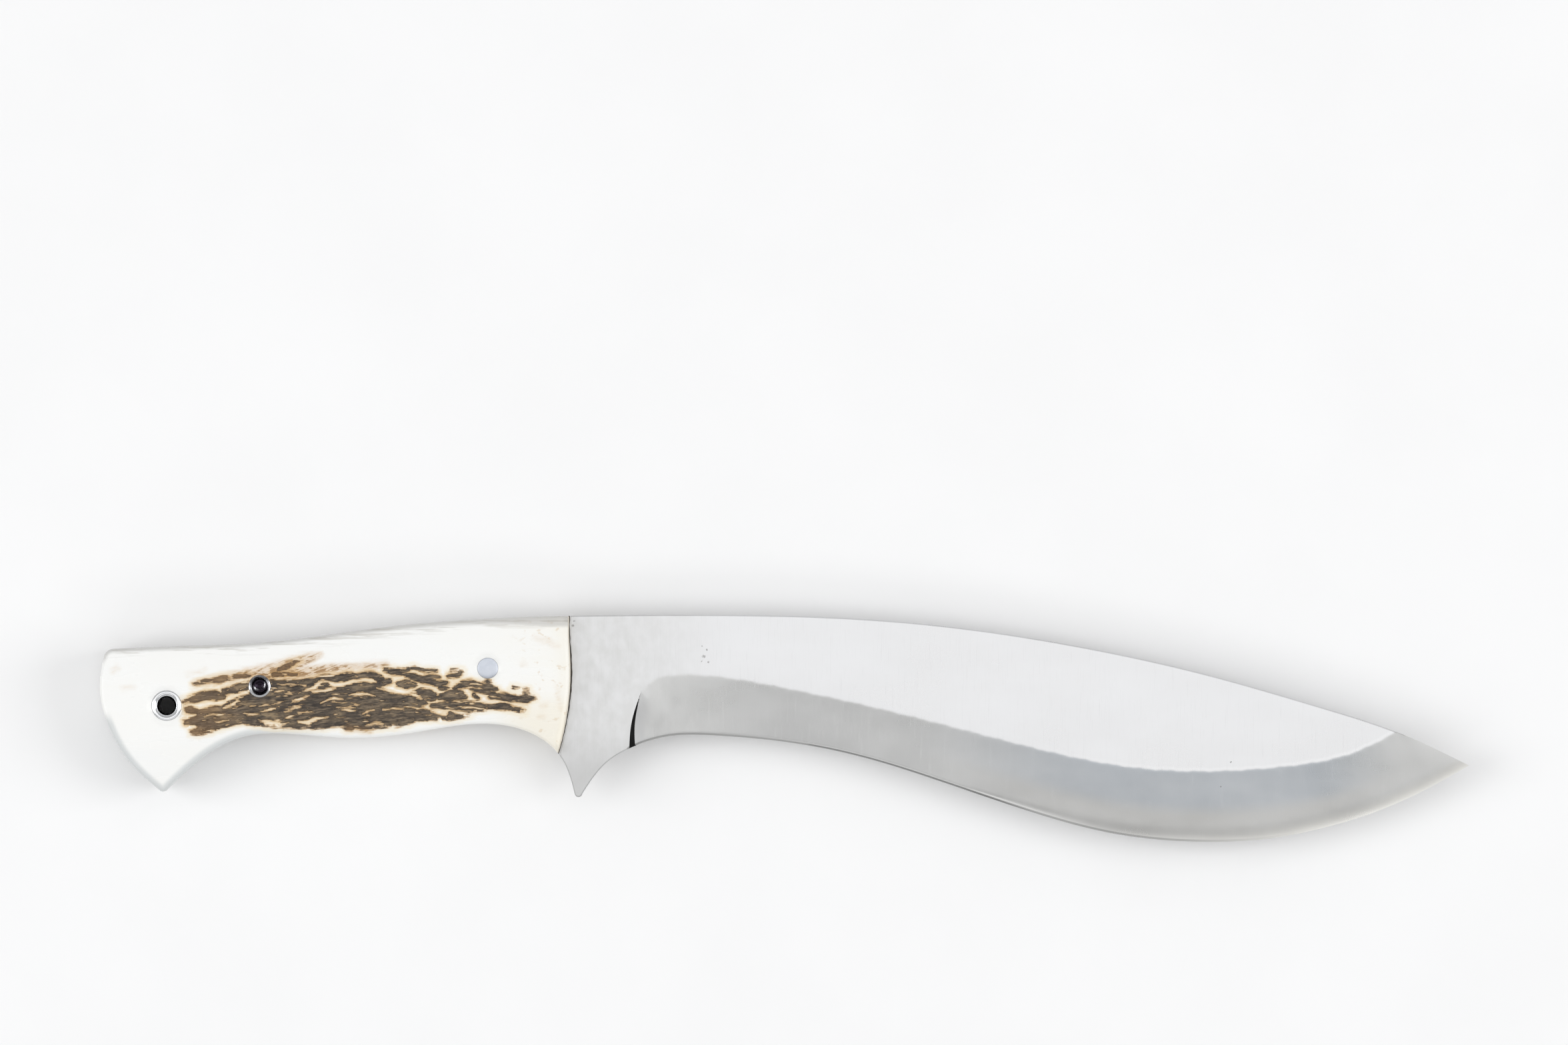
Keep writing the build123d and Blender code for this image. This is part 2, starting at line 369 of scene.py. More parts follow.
def slab_object(name, plan, faces, top, bottom, sharp_degrees, two_sided, **kept):
    """Closed slab over a plan, with its own height at each point on top and below.

    A one-sided slab has a flat underside made of as few faces as its rim allows. What is
    kept is a number for each point of the plan, for the materials and the relief to read."""
    count = len(plan)
    rim = rim_edges(faces)
    source = np.arange(count) if two_sided else np.unique(rim)
    below = {int(old): count + new for new, old in enumerate(source)}
    walls = [(b, a, below[int(a)], below[int(b)]) for a, b in rim]
    under = faces[:, ::-1] + count if two_sided else []
    vertices = np.vstack([np.column_stack([plan, top]),
                          np.column_stack([plan, bottom])[source]])
    obj = add_object(name, vertices, [*faces, *walls, *under], sharp_degrees)
    if not two_sided:
        close_underside(obj.data, sharp_degrees)
    for title, values in kept.items():
        held = obj.data.attributes.new(title, "FLOAT", "POINT")
        held.data.foreach_set("value", np.concatenate([values, np.asarray(values)[source]]))
    return obj


def close_underside(mesh, sharp_degrees):
    """Fills the open rim of a slab with flat triangles."""
    work = bmesh.new()
    work.from_mesh(mesh)
    rim = [e for e in work.edges if e.is_boundary]
    bmesh.ops.triangle_fill(work, use_beauty=True, use_dissolve=False, edges=rim)
    work.to_mesh(mesh)
    work.free()
    finish_mesh(mesh, sharp_degrees)


# ---------------------------------------------------------------- the steel

SPINE_EASE = 0.3  # rounding of the steel's open corners
BEVEL_FOOT = 0.45  # half thickness where the wide bevel would reach the outline
EDGE_HALF = 0.05
BEVEL_SLOPE = 0.12
SHOULDER_SOFTNESS = 0.02
PLUNGE_STEEPNESS = 1.25
ROLLED_X = [0, 110, 150, 200, 251]  # where the steel is rolled over to the edge, and how far
ROLLED_WIDTH = [0.4, 0.7, 3.6, 4.0, 3.4]
GLUE_STEP_AT = 0.5  # ahead of the seam, where the tang thickens to the blade
STEP_WIDTH = 0.04
SHOULDER_ROWS = (-0.9, -0.45, 0, 0.45, 0.9)  # mesh lines along the shoulder, beside it
SHOULDER_ENDS_AT = 0.4  # short of the outline, so that they stay off the eased corner
FOOT_ROOM = 0.03
RIM_ROWS = (SPINE_EASE / 2, SPINE_EASE, 0.6, 1.1, 1.8, 2.7, 3.8)  # mesh points along the outline
PLUNGE_PATCH = (18.5, -29)  # middle of the finer mesh about the plunge
PLUNGE_PATCH_RADIUS = 9


def edge_line():
    """The ground part of the cutting edge, from the point to the plunge."""
    whole = curve(CUTTING_EDGE, 0.4)
    return whole[whole[:, 0] > PLUNGE[-1][0]]


def beside(line, distance):
    """An open line moved to its left by a distance."""
    along = np.gradient(line, axis=0)
    along /= np.linalg.norm(along, axis=1)[:, None]
    return line + np.column_stack([-along[:, 1], along[:, 0]]) * distance


def ground_half_thickness(plan, shoulder):
    """Half thickness that grinding leaves at each place, with its distances to edge and shoulder."""
    from_edge = np.abs(signed_distance(plan, edge_line()))
    from_shoulder = signed_distance(plan, shoulder)
    share = from_edge / (from_edge + np.abs(from_shoulder) + 1e-9)
    ground = BEVEL_FOOT + (BLADE_HALF - BEVEL_FOOT) * share
    ground = np.where(from_shoulder < 0, ground, BLADE_HALF + BEVEL_SLOPE * from_shoulder)
    rolled = np.clip(1 - from_edge / np.interp(plan[:, 0], ROLLED_X, ROLLED_WIDTH), 0, 1)
    ground -= (BEVEL_FOOT - EDGE_HALF) * rolled ** 2
    return soft_min(BLADE_HALF, ground, SHOULDER_SOFTNESS), from_edge, from_shoulder


def steel_half_thickness(plan, outline, shoulder, plunge):
    """Half thickness of the steel at each place in plan, and the distances its finish needs."""
    ground, from_edge, from_shoulder = ground_half_thickness(plan, shoulder)
    past_plunge = signed_distance(plan, plunge)
    wall = BLADE_HALF - PLUNGE_STEEPNESS * past_plunge
    half = np.where(past_plunge < 0, BLADE_HALF, np.maximum(ground, wall))
    in_wall = np.minimum(past_plunge, (wall - ground) / PLUNGE_STEEPNESS)
    from_rim = np.abs(signed_distance(plan, closed(outline)))
    return np.minimum(half, BLADE_HALF - SPINE_EASE + from_rim), from_edge, from_shoulder, in_wall


def kept_inside(line, outline, margin):
    """The part of an open line that runs clear of the outline by a margin."""
    clear = inside(line, outline) & (np.abs(signed_distance(line, closed(outline))) > margin)
    return line[clear]


def plunge_points(outline, plunge, foot):
    """Close mesh points over the wall of the plunge."""
    points = even_points(ring(PLUNGE_PATCH, PLUNGE_PATCH_RADIUS), 0.28, 0)
    points = points[inside(points, outline)]
    past_plunge = signed_distance(points, plunge)
    from_foot = np.abs(signed_distance(points, foot))
    return points[(past_plunge > -0.3) & (past_plunge < 2.4) & (from_foot > CLEAR_OF_LINE)]


def blade_object():
    """Blade, guard spur and tang: one plate, ground alike on both sides."""
    outline = knife_outline()
    shoulder = curve(SHOULDER, 0.8)
    shoulder[:, 1] += 0.1 * np.sin(0.8 * shoulder[:, 0]) + 0.07 * np.sin(2.1 * shoulder[:, 0] + 1)
    plunge = curve(PLUNGE, 0.5)
    step = beside(curve(SEAM, 0.7), GLUE_STEP_AT)
    drop = BLADE_HALF - ground_half_thickness(plunge, shoulder)[0]
    foot = beside(plunge, (drop / PLUNGE_STEEPNESS + FOOT_ROOM)[:, None])
    lines = [kept_inside(beside(shoulder, d), outline, SHOULDER_ENDS_AT) for d in SHOULDER_ROWS]
    lines += [kept_inside(line, outline, CLEAR_OF_LINE) for line in (plunge, foot)]
    lines += [step, beside(step, -STEP_WIDTH)]
    rows = [inset(outline, d) for d in RIM_ROWS]
    holes = drilled(TUBE_RADIUS)
    points = clear_of(np.vstack([even_points(outline, 1.4, 4.2), *rows,
                                 plunge_points(outline, plunge, foot)]), holes)
    plan, faces = triangles(outline, lines, points, holes)
    half, from_edge, from_shoulder, in_wall = steel_half_thickness(
        plan, outline, shoulder, plunge)
    on_tang = signed_distance(plan, step) < -STEP_WIDTH / 2
    half = np.where(on_tang, TANG_HALF, half)
    return slab_object("steel_blade", plan, faces, half, -half, 20, two_sided=True,
                       from_edge=from_edge, from_shoulder=from_shoulder, plunge_wall=in_wall)


# ---------------------------------------------------------------- the antler scales

RIM_ROUNDING = 2.0  # radius round the outline
FRONT_ROUNDING = 0.8  # and along the seam with the bare steel
BARK_SURROUND = 1.2  # how far the bark's fine mesh runs past its region
FINE_STEP = 0.24
COARSE_STEP = 1.2
SCALE_ROWS = (0.08, 0.25, 0.5, 0.85, 1.3, 1.9)  # mesh points along the rim


def crown_height(plan):
    """Height of a scale's crown over the blade's middle plane."""
    table = np.array(CROWN)
    ridge_y, height, half_width = (
        natural_cubic(table[:, 0], table[:, k], plan[:, 0]) for k in (1, 2, 3))
    rise = height - CROWN_SIDE
    radius = (half_width ** 2 + rise ** 2) / (2 * rise)
    return BLADE_HALF + height - radius + np.sqrt(radius ** 2 - (plan[:, 1] - ridge_y) ** 2)


def behind(outline, seam):
    """The part of the knife's outline behind a line across it, closed along that line."""
    is_behind = signed_distance(outline, seam) < 0
    first_gap = int(np.argmin(is_behind))
    after = first_gap + int(np.argmax(is_behind[first_gap:]))
    return np.vstack([outline[:first_gap], seam[inside(seam, outline)], outline[after:]])


def rounded_drop(distance, radius):
    """How far a rounded corner falls away at a distance from its edge."""
    short = np.clip(radius - distance, 0, radius)
    return radius - np.sqrt(radius ** 2 - short ** 2)


def bark_region():
    """Closed line round all the bark that is left on."""
    return joined(curve(BARK_TOP, 0.8), curve(BARK_FOOT, 0.8))[::-1]


BARK_MASS = [  # the unbroken bark of the front scale
    (-103.2, -26.0), (-99.7, -25.0), (-97.1, -24.8), (-95.3, -23.9), (-92.7, -22.6),
    (-89.7, -21.7), (-88.2, -20.4), (-85.5, -18.0), (-83, -17.5), (-79, -17.5), (-75, -17.6),
    (-71, -17.0), (-68.1, -15.9), (-65.2, -16.2), (-62.0, -15.6), (-59.4, -15.9), (-57, -15.2),
    (-54.6, -15.4), (-52.2, -16.4), (-51.4, -17.2), (-49.6, -17.2), (-49.3, -18.6),
    (-52.4, -19.5), (-50.8, -20.9), (-48.5, -21.6), (-46.2, -21.9), (-44.6, -21.7),
    (-43.4, -20.6), (-41.5, -19.9), (-39, -20.2), (-37, -21.2), (-36.7, -22.6), (-37.7, -23.8),
    (-39.5, -24.2), (-40.8, -25.0), (-39.0, -26.2), (-36.5, -27.5), (-34.4, -27.8),
    (-33.4, -26.4), (-31.0, -27.3), (-28.0, -27.0), (-27.2, -27.5), (-30.8, -28.6),
    (-34, -29.1), (-38, -28.9), (-42.5, -29.1), (-44.2, -29.9), (-47.5, -30.8), (-51.5, -31.1),
    (-54.9, -31.6), (-58.5, -31.6), (-60.5, -30.8), (-63, -30.4), (-66, -30.8), (-68.5, -31.3),
    (-73, -31.3), (-78, -31.2), (-83, -31.0), (-88.5, -30.3), (-91.2, -29.7), (-94.2, -30.5),
    (-97.1, -31.3), (-100, -32.4), (-103, -33.2), (-105.8, -32.8), (-105.6, -31.8),
    (-103.3, -30.8), (-104.5, -30.1), (-107.3, -30.3), (-107.5, -28.9), (-104.9, -28.1),
    (-103.9, -27.3), (-106.9, -26.9), (-107.2, -25.3), (-105.2, -24.9),
]
CHANNELS = [  # bone showing between ridges: places along each, and half its width there
    [(-86.6, -28.9, 0.2), (-83.5, -29.6, 0.8), (-80.8, -30.0, 0.8), (-78.3, -29.1, 0.4)],
    [(-75.4, -29.4, 0.3), (-72.6, -29.4, 0.7), (-70.5, -28.5, 0.5), (-67.2, -28.0, 0.15)],
    [(-73.5, -20.5, 0.3), (-71.0, -19.9, 0.6), (-69.8, -18.7, 0.7), (-68.0, -18.1, 0.5),
     (-65.4, -19.1, 0.7), (-63.0, -18.8, 0.7), (-60.2, -18.0, 0.6), (-57.5, -17.7, 0.6),
     (-54.8, -17.8, 0.5), (-53.9, -18.3, 0.2)],
    [(-71.6, -20.9, 0.4), (-68.1, -20.6, 0.5), (-65.2, -19.8, 0.4)],
    [(-77.6, -24.0, 0.1), (-74.8, -22.8, 0.45), (-72.4, -22.0, 0.15)],
    [(-85.4, -26.4, 0.1), (-83.0, -25.8, 0.35), (-80.9, -25.1, 0.1)],
    [(-79.5, -26.6, 0.1), (-77.0, -25.8, 0.3), (-74.6, -25.1, 0.1)],
    [(-90.5, -27.0, 0.1), (-88.2, -27.4, 0.38), (-86.4, -27.2, 0.1)],
    [(-69.4, -24.2, 0.1), (-67.4, -23.2, 0.3), (-65.5, -22.8, 0.42), (-63.1, -23.0, 0.1)],
    [(-61.4, -21.9, 0.1), (-58.6, -21.5, 0.5), (-56.5, -21.6, 0.45), (-53.9, -22.2, 0.1)],
    [(-82.8, -21.4, 0.1), (-81.1, -20.8, 0.25), (-79.5, -20.5, 0.1)],
    [(-81.4, -18.9, 0.1), (-77.4, -18.8, 0.22), (-73.4, -19.2, 0.1)],
    [(-98.1, -29.5, 0.1), (-96.7, -29.2, 0.25), (-94.9, -28.9, 0.1)],
    [(-92.4, -23.4, 0.4), (-94.4, -24.9, 0.5), (-96.4, -25.4, 0.2)],
    [(-53.6, -19.9, 0.1), (-50.8, -20.4, 0.4), (-48.0, -20.9, 0.55), (-45.9, -21.1, 0.5),
     (-44.2, -20.3, 0.2)],
    [(-45.3, -21.2, 0.3), (-42.9, -22.0, 0.5), (-41.2, -22.9, 0.15)],
    [(-42.6, -25.7, 0.15), (-39.7, -25.3, 0.45), (-37.5, -26.0, 0.5), (-35.2, -27.2, 0.5)],
    [(-57.7, -27.2, 0.1), (-56.1, -26.3, 0.3), (-54.4, -25.9, 0.1)],
    [(-51.9, -25.9, 0.1), (-49.4, -25.6, 0.38), (-46.2, -25.8, 0.1)],
    [(-56.9, -30.3, 0.1), (-54.6, -29.7, 0.42), (-51.8, -29.9, 0.1)],
    [(-40.2, -23.3, 0.1), (-38.9, -24.1, 0.45), (-37.2, -23.9, 0.5)],
    [(-64.5, -25.7, 0.08), (-61.8, -25.2, 0.22), (-59.5, -25.4, 0.08)],
    [(-101.8, -27.9, 0.08), (-99.4, -27.2, 0.25), (-97.4, -26.9, 0.08)],
]
RIDGES = [  # bark standing alone, in the same way
    [(-104.7, -18.9, 0.15), (-102.1, -18.1, 0.45), (-99.9, -18.0, 0.3), (-98.6, -17.8, 0.8),
     (-96.6, -17.4, 0.75), (-94.4, -16.9, 0.35), (-92.7, -16.7, 0.4), (-91.4, -16.6, 0.2),
     (-90.2, -16.3, 0.5), (-88.6, -16.3, 0.35)],
    [(-107.5, -23.5, 0.4), (-104.6, -22.9, 0.9), (-101.4, -22.0, 1.15), (-98.4, -22.0, 1.2),
     (-96.2, -22.4, 0.4)],
    [(-96.2, -20.9, 0.6), (-93.6, -20.3, 0.95), (-91.2, -19.5, 0.95), (-89.2, -19.1, 0.9)],
    [(-80.9, -14.8, 0.3), (-78.6, -13.8, 0.65), (-75.0, -12.1, 0.1)],
    [(-82.4, -16.3, 0.5), (-79.2, -15.9, 0.35), (-76.0, -16.2, 0.2)],
    [(-80.1, -29.5, 0.15), (-78.9, -28.9, 0.45), (-77.4, -29.0, 0.3)],
    [(-69.6, -19.7, 0.2), (-68.4, -19.2, 0.55), (-67.3, -18.9, 0.25)],
    [(-51.4, -15.0, 0.4), (-49.0, -15.2, 0.85), (-46.9, -15.5, 0.8), (-45.7, -15.1, 0.4),
     (-43.8, -14.3, 0.3), (-42.4, -14.4, 0.2)],
    [(-41.6, -14.8, 0.15), (-39.2, -15.2, 0.4), (-37.2, -15.0, 0.25)],
    [(-45.7, -16.2, 0.4), (-43.2, -16.9, 0.9), (-40.6, -17.7, 0.75), (-38.4, -18.2, 0.7),
     (-36.2, -18.8, 0.65), (-34.2, -18.4, 0.3)],
    [(-40.4, -16.9, 0.3), (-38.0, -16.7, 0.4), (-36.2, -16.9, 0.2)],
    [(-33.8, -16.6, 0.3), (-32.4, -16.5, 0.5), (-31.0, -16.4, 0.3), (-29.8, -15.1, 0.2),
     (-32.8, -14.9, 0.15)],
    [(-47.7, -18.7, 0.5), (-45.5, -18.8, 1.15), (-43.2, -19.0, 0.5)],
    [(-35.9, -19.8, 0.5), (-34.0, -19.8, 0.5)],
    [(-36.2, -22.5, 0.6), (-33.0, -22.0, 1.5), (-30.6, -21.9, 1.2), (-29.0, -22.4, 0.4)],
    [(-32.4, -20.1, 0.25), (-29.8, -18.9, 0.8), (-27.4, -18.6, 0.85), (-24.8, -19.3, 0.6),
     (-22.8, -19.6, 0.95), (-20.5, -20.2, 0.4)],
    [(-27.4, -20.3, 0.2), (-23.3, -21.0, 0.4), (-20.8, -21.5, 0.3)],
    [(-22.1, -22.5, 0.3), (-19.2, -22.2, 0.95), (-16.6, -22.7, 0.8), (-14.4, -23.1, 0.55),
     (-12.0, -22.9, 0.95), (-9.7, -22.7, 0.3)],
    [(-26.6, -21.8, 0.4), (-25.6, -22.8, 0.3)],
    [(-38.4, -24.9, 0.4), (-35.0, -24.7, 0.9), (-31.5, -24.7, 1.1), (-27.5, -25.0, 1.2),
     (-24.2, -25.3, 0.9), (-21.6, -25.2, 0.4), (-19.2, -24.9, 0.85), (-16.3, -25.5, 0.6),
     (-14.0, -26.1, 0.45), (-12.4, -26.5, 0.2)],
    [(-12.8, -20.5, 0.35), (-11.5, -20.4, 0.3)],
    [(-23.6, -17.9, 0.2), (-22.4, -17.9, 0.2)],
    [(-62.6, -31.3, 0.3), (-60.6, -31.0, 0.45)],
    [(-15.9, -19.8, 0.25), (-14.8, -19.8, 0.2)],
]
STAINS = [  # bone stained orange above the bark, in the same way
    [(-104.4, -18.6, 0.3), (-98, -17.4, 0.8), (-90, -16.0, 1.0), (-84, -15.5, 1.9),
     (-79.5, -14.4, 2.0), (-75, -12.6, 1.4), (-71.5, -11.3, 0.9), (-69.4, -10.6, 0.3)],
    [(-80, -15.6, 1.6), (-74, -15.4, 1.3), (-67.5, -14.4, 0.9), (-60, -14.1, 0.6),
     (-51, -13.5, 0.5)],
    [(-61.6, -31.2, 0.5), (-55.6, -32.0, 0.2)],
]
FAINT_STAINS = [  # fainter marks on the open bone
    [(-9.5, -6.0, 0.5), (-6.5, -6.8, 0.8), (-3.4, -8.4, 0.4)],
    [(-7.6, -25.0, 0.5), (-6.6, -24.6, 0.5)],
    [(-8.4, -28.0, 0.4), (-7.4, -27.8, 0.4)], [(-127.4, -15.2, 0.5), (-126.0, -14.3, 0.5)],
    [(-124.4, -20.0, 0.3), (-121.5, -19.6, 0.3)], [(-13.4, -13.4, 0.4), (-12.6, -13.2, 0.4)],
    [(-106.6, -16.2, 0.3), (-101.5, -15.0, 0.3)], [(-3.4, -20.2, 0.3), (-2.6, -26.0, 0.3)],
]


def stroke_depth(plan, strokes):
    """How deep each place lies inside the nearest of several tapered strokes."""
    depth = np.full(len(plan), -99.0)
    for stroke in strokes:
        marks = np.array(stroke)
        for start, end in zip(marks, marks[1:]):
            run = end[:2] - start[:2]
            t = np.clip((plan - start[:2]) @ run / (run @ run), 0, 1)
            off = np.linalg.norm(plan - start[:2] - t[:, None] * run, axis=1)
            depth = np.maximum(depth, start[2] + t * (end[2] - start[2]) - off)
    return depth


def line_depth(plan, line):
    """How deep each place lies inside a closed line; negative outside."""
    off = np.abs(signed_distance(plan, closed(line)))
    return np.where(inside(plan, line), off, -off)


def drawn_bark_depth(plan):
    """How deep each place of the front scale lies in bark."""
    depth = line_depth(plan, np.array(BARK_MASS))
    depth = np.minimum(depth, -stroke_depth(plan, CHANNELS))
    return np.maximum(depth, stroke_depth(plan, RIDGES) + 0.2)


@lru_cache
def scale_plan():
    """Plan, faces and heights that both scales share, and the distances kept on them."""
    outline = knife_outline(0.6)
    seam = curve(SEAM, 0.06)
    footprint = behind(outline, seam)
    holes = drilled(FLANGE_RADIUS)
    region = bark_region()
    surround = inset(region, -BARK_SURROUND)
    coarse = even_points(footprint, COARSE_STEP, 2.2)
    coarse = coarse[~inside(coarse, surround)]
    fine = even_points(surround, FINE_STEP, 0.1)
    fine = fine[inside(fine, inset(footprint, 2.0))]
    rows = [inset(footprint, d) for d in SCALE_ROWS]
    points = clear_of(np.vstack([coarse, fine, *rows]), holes)
    plan, faces = triangles(thinned(footprint, 0.35), (), points, holes)
    from_rim = np.abs(signed_distance(plan, closed(outline)))
    from_seam = np.abs(signed_distance(plan, seam))
    top = crown_height(plan)
    top -= rounded_drop(from_rim, RIM_ROUNDING) + rounded_drop(from_seam, FRONT_ROUNDING)
    from_holes = np.min([np.abs(signed_distance(plan, closed(hole))) for hole in holes], axis=0)
    carved = smoothstep(np.minimum(from_rim, from_seam), 0.1, 1.6)
    return plan, faces, top, {
        "from_rim": from_rim, "from_seam": from_seam, "bark_wide": line_depth(plan, region),
        "carved": carved * smoothstep(from_holes, 0.2, 0.9)}


def scale_object(name, side):
    """One scale, side +1 in front or -1 behind, still without its bark."""
    plan, faces, top, kept = scale_plan()
    base = np.full(len(plan), BLADE_HALF)
    front = side > 0
    return slab_object(
        name, plan, faces, side * top, side * base, 40, two_sided=False, **kept,
        bark_depth=drawn_bark_depth(plan) if front else kept["bark_wide"],
        stain=np.maximum(smoothstep(stroke_depth(plan, STAINS), -1.3, 0.7) * front,
                         smoothstep(stroke_depth(plan, FAINT_STAINS), -0.9, 0.6) * 0.3))


def thinned(polygon, least):
    """A closed line without the points that crowd closer than a least distance."""
    kept = [polygon[0]]
    for point in polygon[1:]:
        if np.linalg.norm(point - kept[-1]) >= least:
            kept.append(point)
    return np.array(kept)


# ---------------------------------------------------------------- glue

BEAD_HEIGHT = 0.05
BEAD_AT = 0.22  # mesh points ahead of the seam, where the bead stands at its full height


def bead_width(y):
    """How far the glue stands ahead of the scale: fullest half way across, and never even."""
    return 0.17 + 0.24 * np.exp(-((y + 17) / 12) ** 2) + 0.06 * np.sin(y * 1.9) * np.sin(y * 0.7)


def glue_object(name, side):
    """Glue between tang and scale, squeezed out in an uneven bead ahead of the scale."""
    outline = knife_outline(0.6)
    seam = curve(SEAM, 0.3)
    width = bead_width(seam[:, 1])
    front = seam + np.column_stack([width, np.zeros(len(width))])
    footprint = behind(outline, front)
    plan, faces = triangles(footprint, [seam], beside(seam, BEAD_AT), drilled(TUBE_RADIUS))
    ahead = signed_distance(plan, seam)
    top = BLADE_HALF + BEAD_HEIGHT * np.clip(ahead / 0.2, 0, 1)
    base = np.full(len(plan), TANG_HALF)
    return slab_object(name, plan, faces, side * top, side * base, 40, two_sided=False)


# ---------------------------------------------------------------- pins, rivet and tube

# Ends of the fasteners as (radius, height over the crown), from the middle outwards
CUP_RADIUS = 2.25
CUP_DEPTH = 5.0
PIN_END = [(0, 0.1), (1.0, 0.095), (1.9, 0.075), (2.55, 0.035), (2.82, -0.02), (PIN_RADIUS, -0.12)]
RIVET_RIM = [
    (CUP_RADIUS, -1.1), (2.3, -0.6), (2.42, -0.34), (2.62, -0.15), (2.84, 0.02), (2.97, 0.07),
    (3.07, -0.01), (RIVET_RADIUS, -0.18),
]
TUBE_FLANGE = [
    (BORE_RADIUS, -1.6), (2.36, -1.1), (2.55, -0.68), (2.85, -0.32), (3.15, -0.05),
    (3.45, 0.12), (3.75, 0.16), (4.0, 0.1), (4.15, -0.02), (FLANGE_RADIUS, -0.18),
    (4.16, -0.34), (TUBE_RADIUS, -0.44),
]


def fastener(name, place, end, count=72):
    """Fastener through the handle, from one end's (radius, height over the crown) points.

    An end that starts on the axis is closed there; one that starts off it has a bore."""
    vertices, faces, rows = [], [], []
    for side, points in ((1, end), (-1, end[::-1])):
        for radius, height in points:
            plan = ring(place, radius, count) if radius else np.array([place])
            first = len(vertices)
            vertices += [(x, y, side * (z + height))
                         for (x, y), z in zip(plan, crown_height(plan))]
            rows.append([first + i if radius else first for i in range(count)])
    pairs = list(zip(rows, rows[1:]))
    if end[0][0]:
        pairs.append((rows[-1], rows[0]))
    for low, high in pairs:
        for i in range(count):
            j = (i + 1) % count
            faces.append(tuple(dict.fromkeys((low[i], low[j], high[j], high[i]))))
    return add_object(name, vertices, faces, 35)


def bowl(radius, depth, count=10):
    """Points down a round-bottomed cup from its mouth to its middle."""
    angles = np.linspace(0, math.pi / 2, count)
    straight = depth - radius
    wall = [(radius * math.cos(a), -straight - radius * math.sin(a)) for a in angles[:-1]]
    return [*wall, (0, -depth)]


def solid_pin_object():
    """Plain pin, peened very slightly domed and rubbed flush."""
    return fastener("solid_pin_metal", SOLID_PIN_AT, PIN_END)


def cup_rivet_object():
    """Rivet with a rolled bright rim round a polished cup."""
    end = [*bowl(CUP_RADIUS, CUP_DEPTH)[::-1], *RIVET_RIM]
    return fastener("cup_rivet_metal", CUP_RIVET_AT, end)


def lanyard_tube_object():
    """Tube flared over at each end into a rounded flange."""
    return fastener("lanyard_tube_metal", LANYARD_AT, TUBE_FLANGE)


# ---------------------------------------------------------------- node trees

class Tree:
    """Adds and joins the nodes of one tree in few words."""

    def __init__(self, tree):
        self.tree = tree

    def feed(self, socket, value):
        if isinstance(value, bpy.types.NodeSocket):
            self.tree.links.new(value, socket)
        else:
            socket.default_value = value

    def node(self, kind, inputs=None, **settings):
        made = self.tree.nodes.new(kind)
        for key, value in settings.items():
            setattr(made, key, value)
        for key, value in (inputs or {}).items():
            self.feed(made.inputs[key], value)
        return made

    def math(self, operation, a, b=0.0):
        return self.node("ShaderNodeMath", {0: a, 1: b}, operation=operation).outputs[0]

    def times(self, *values):
        return reduce(partial(self.math, "MULTIPLY"), values)

    def plus(self, *values):
        return reduce(partial(self.math, "ADD"), values)

    def minus(self, a, b):
        return self.math("SUBTRACT", a, b)

    def over(self, a, b):
        return self.math("DIVIDE", a, b)

    def vector(self, operation, a, b=(0, 0, 0)):
        return self.node("ShaderNodeVectorMath", {0: a, 1: b}, operation=operation).outputs[0]

    def combine(self, x, y, z=0.0):
        return self.node("ShaderNodeCombineXYZ", {0: x, 1: y, 2: z}).outputs[0]

    def parts(self, vector):
        return self.node("ShaderNodeSeparateXYZ", {0: vector}).outputs

    def step(self, value, low, high, out_low=0.0, out_high=1.0):
        """Smooth step of a value from low to high."""
        made = self.node("ShaderNodeMapRange", {0: value, 1: low, 2: high, 3: out_low, 4: out_high},
                         interpolation_type="SMOOTHSTEP")
        return made.outputs[0]

    def noise(self, vector, detail=2.0, roughness=0.5):
        return self.node("ShaderNodeTexNoise", {"Vector": vector, "Scale": 1.0, "Detail": detail,
                                                "Roughness": roughness}).outputs[0]

    def stretched_noise(self, place, sizes, detail, roughness):
        """Noise whose grains have a size along each axis."""
        scaled = [self.over(part, size) for part, size in zip(place, sizes)]
        return self.noise(self.combine(*scaled), detail, roughness)

    def mix(self, factor, a, b):
        """Mix of two colours, each from a socket or as red, green and blue."""
        a, b = (c if isinstance(c, bpy.types.NodeSocket) else (*c, 1) for c in (a, b))
        return self.node("ShaderNodeMix", {0: factor, 6: a, 7: b}, data_type="RGBA").outputs[2]

    def tint(self, colour, laid_over, *masks):
        """A colour with another laid over it, as far as the masks together allow."""
        return self.mix(self.times(*masks), colour, laid_over)

    def blend(self, factor, a, b):
        """Mix of two numbers."""
        return self.node("ShaderNodeMix", {0: factor, 2: a, 3: b}, data_type="FLOAT").outputs[0]

    def ramp(self, value, stops):
        """Colour ramp from (place, colour) stops."""
        made = self.node("ShaderNodeValToRGB", {0: value})
        elements = made.color_ramp.elements
        elements[0].position, elements[0].color = stops[0][0], (*stops[0][1], 1)
        elements[1].position, elements[1].color = stops[-1][0], (*stops[-1][1], 1)
        for place, colour in stops[1:-1]:
            elements.new(place).color = (*colour, 1)
        return made.outputs[0]

    def attribute(self, name):
        return self.node("ShaderNodeAttribute", attribute_name=name).outputs["Fac"]

    def group(self, tree, **inputs):
        made = self.node("ShaderNodeGroup", node_tree=tree)
        for key, value in inputs.items():
            self.feed(made.inputs[key.replace("_", " ")], value)
        return made.outputs

    def bump(self, height, strength, distance, **inputs):
        """Normal bent by a height, of at most a distance in metres."""
        return self.node("ShaderNodeBump", {"Height": height, "Strength": strength,
                                            "Distance": distance, **inputs}).outputs[0]

    def place(self, datum=None):
        """Object coordinates in millimetres, from the origin or from a datum."""
        place = self.node("ShaderNodeTexCoord").outputs["Object"]
        if datum is not None:
            place = self.vector("SUBTRACT", place, tuple(datum))
        return self.vector("MULTIPLY", place, PER_METRE)


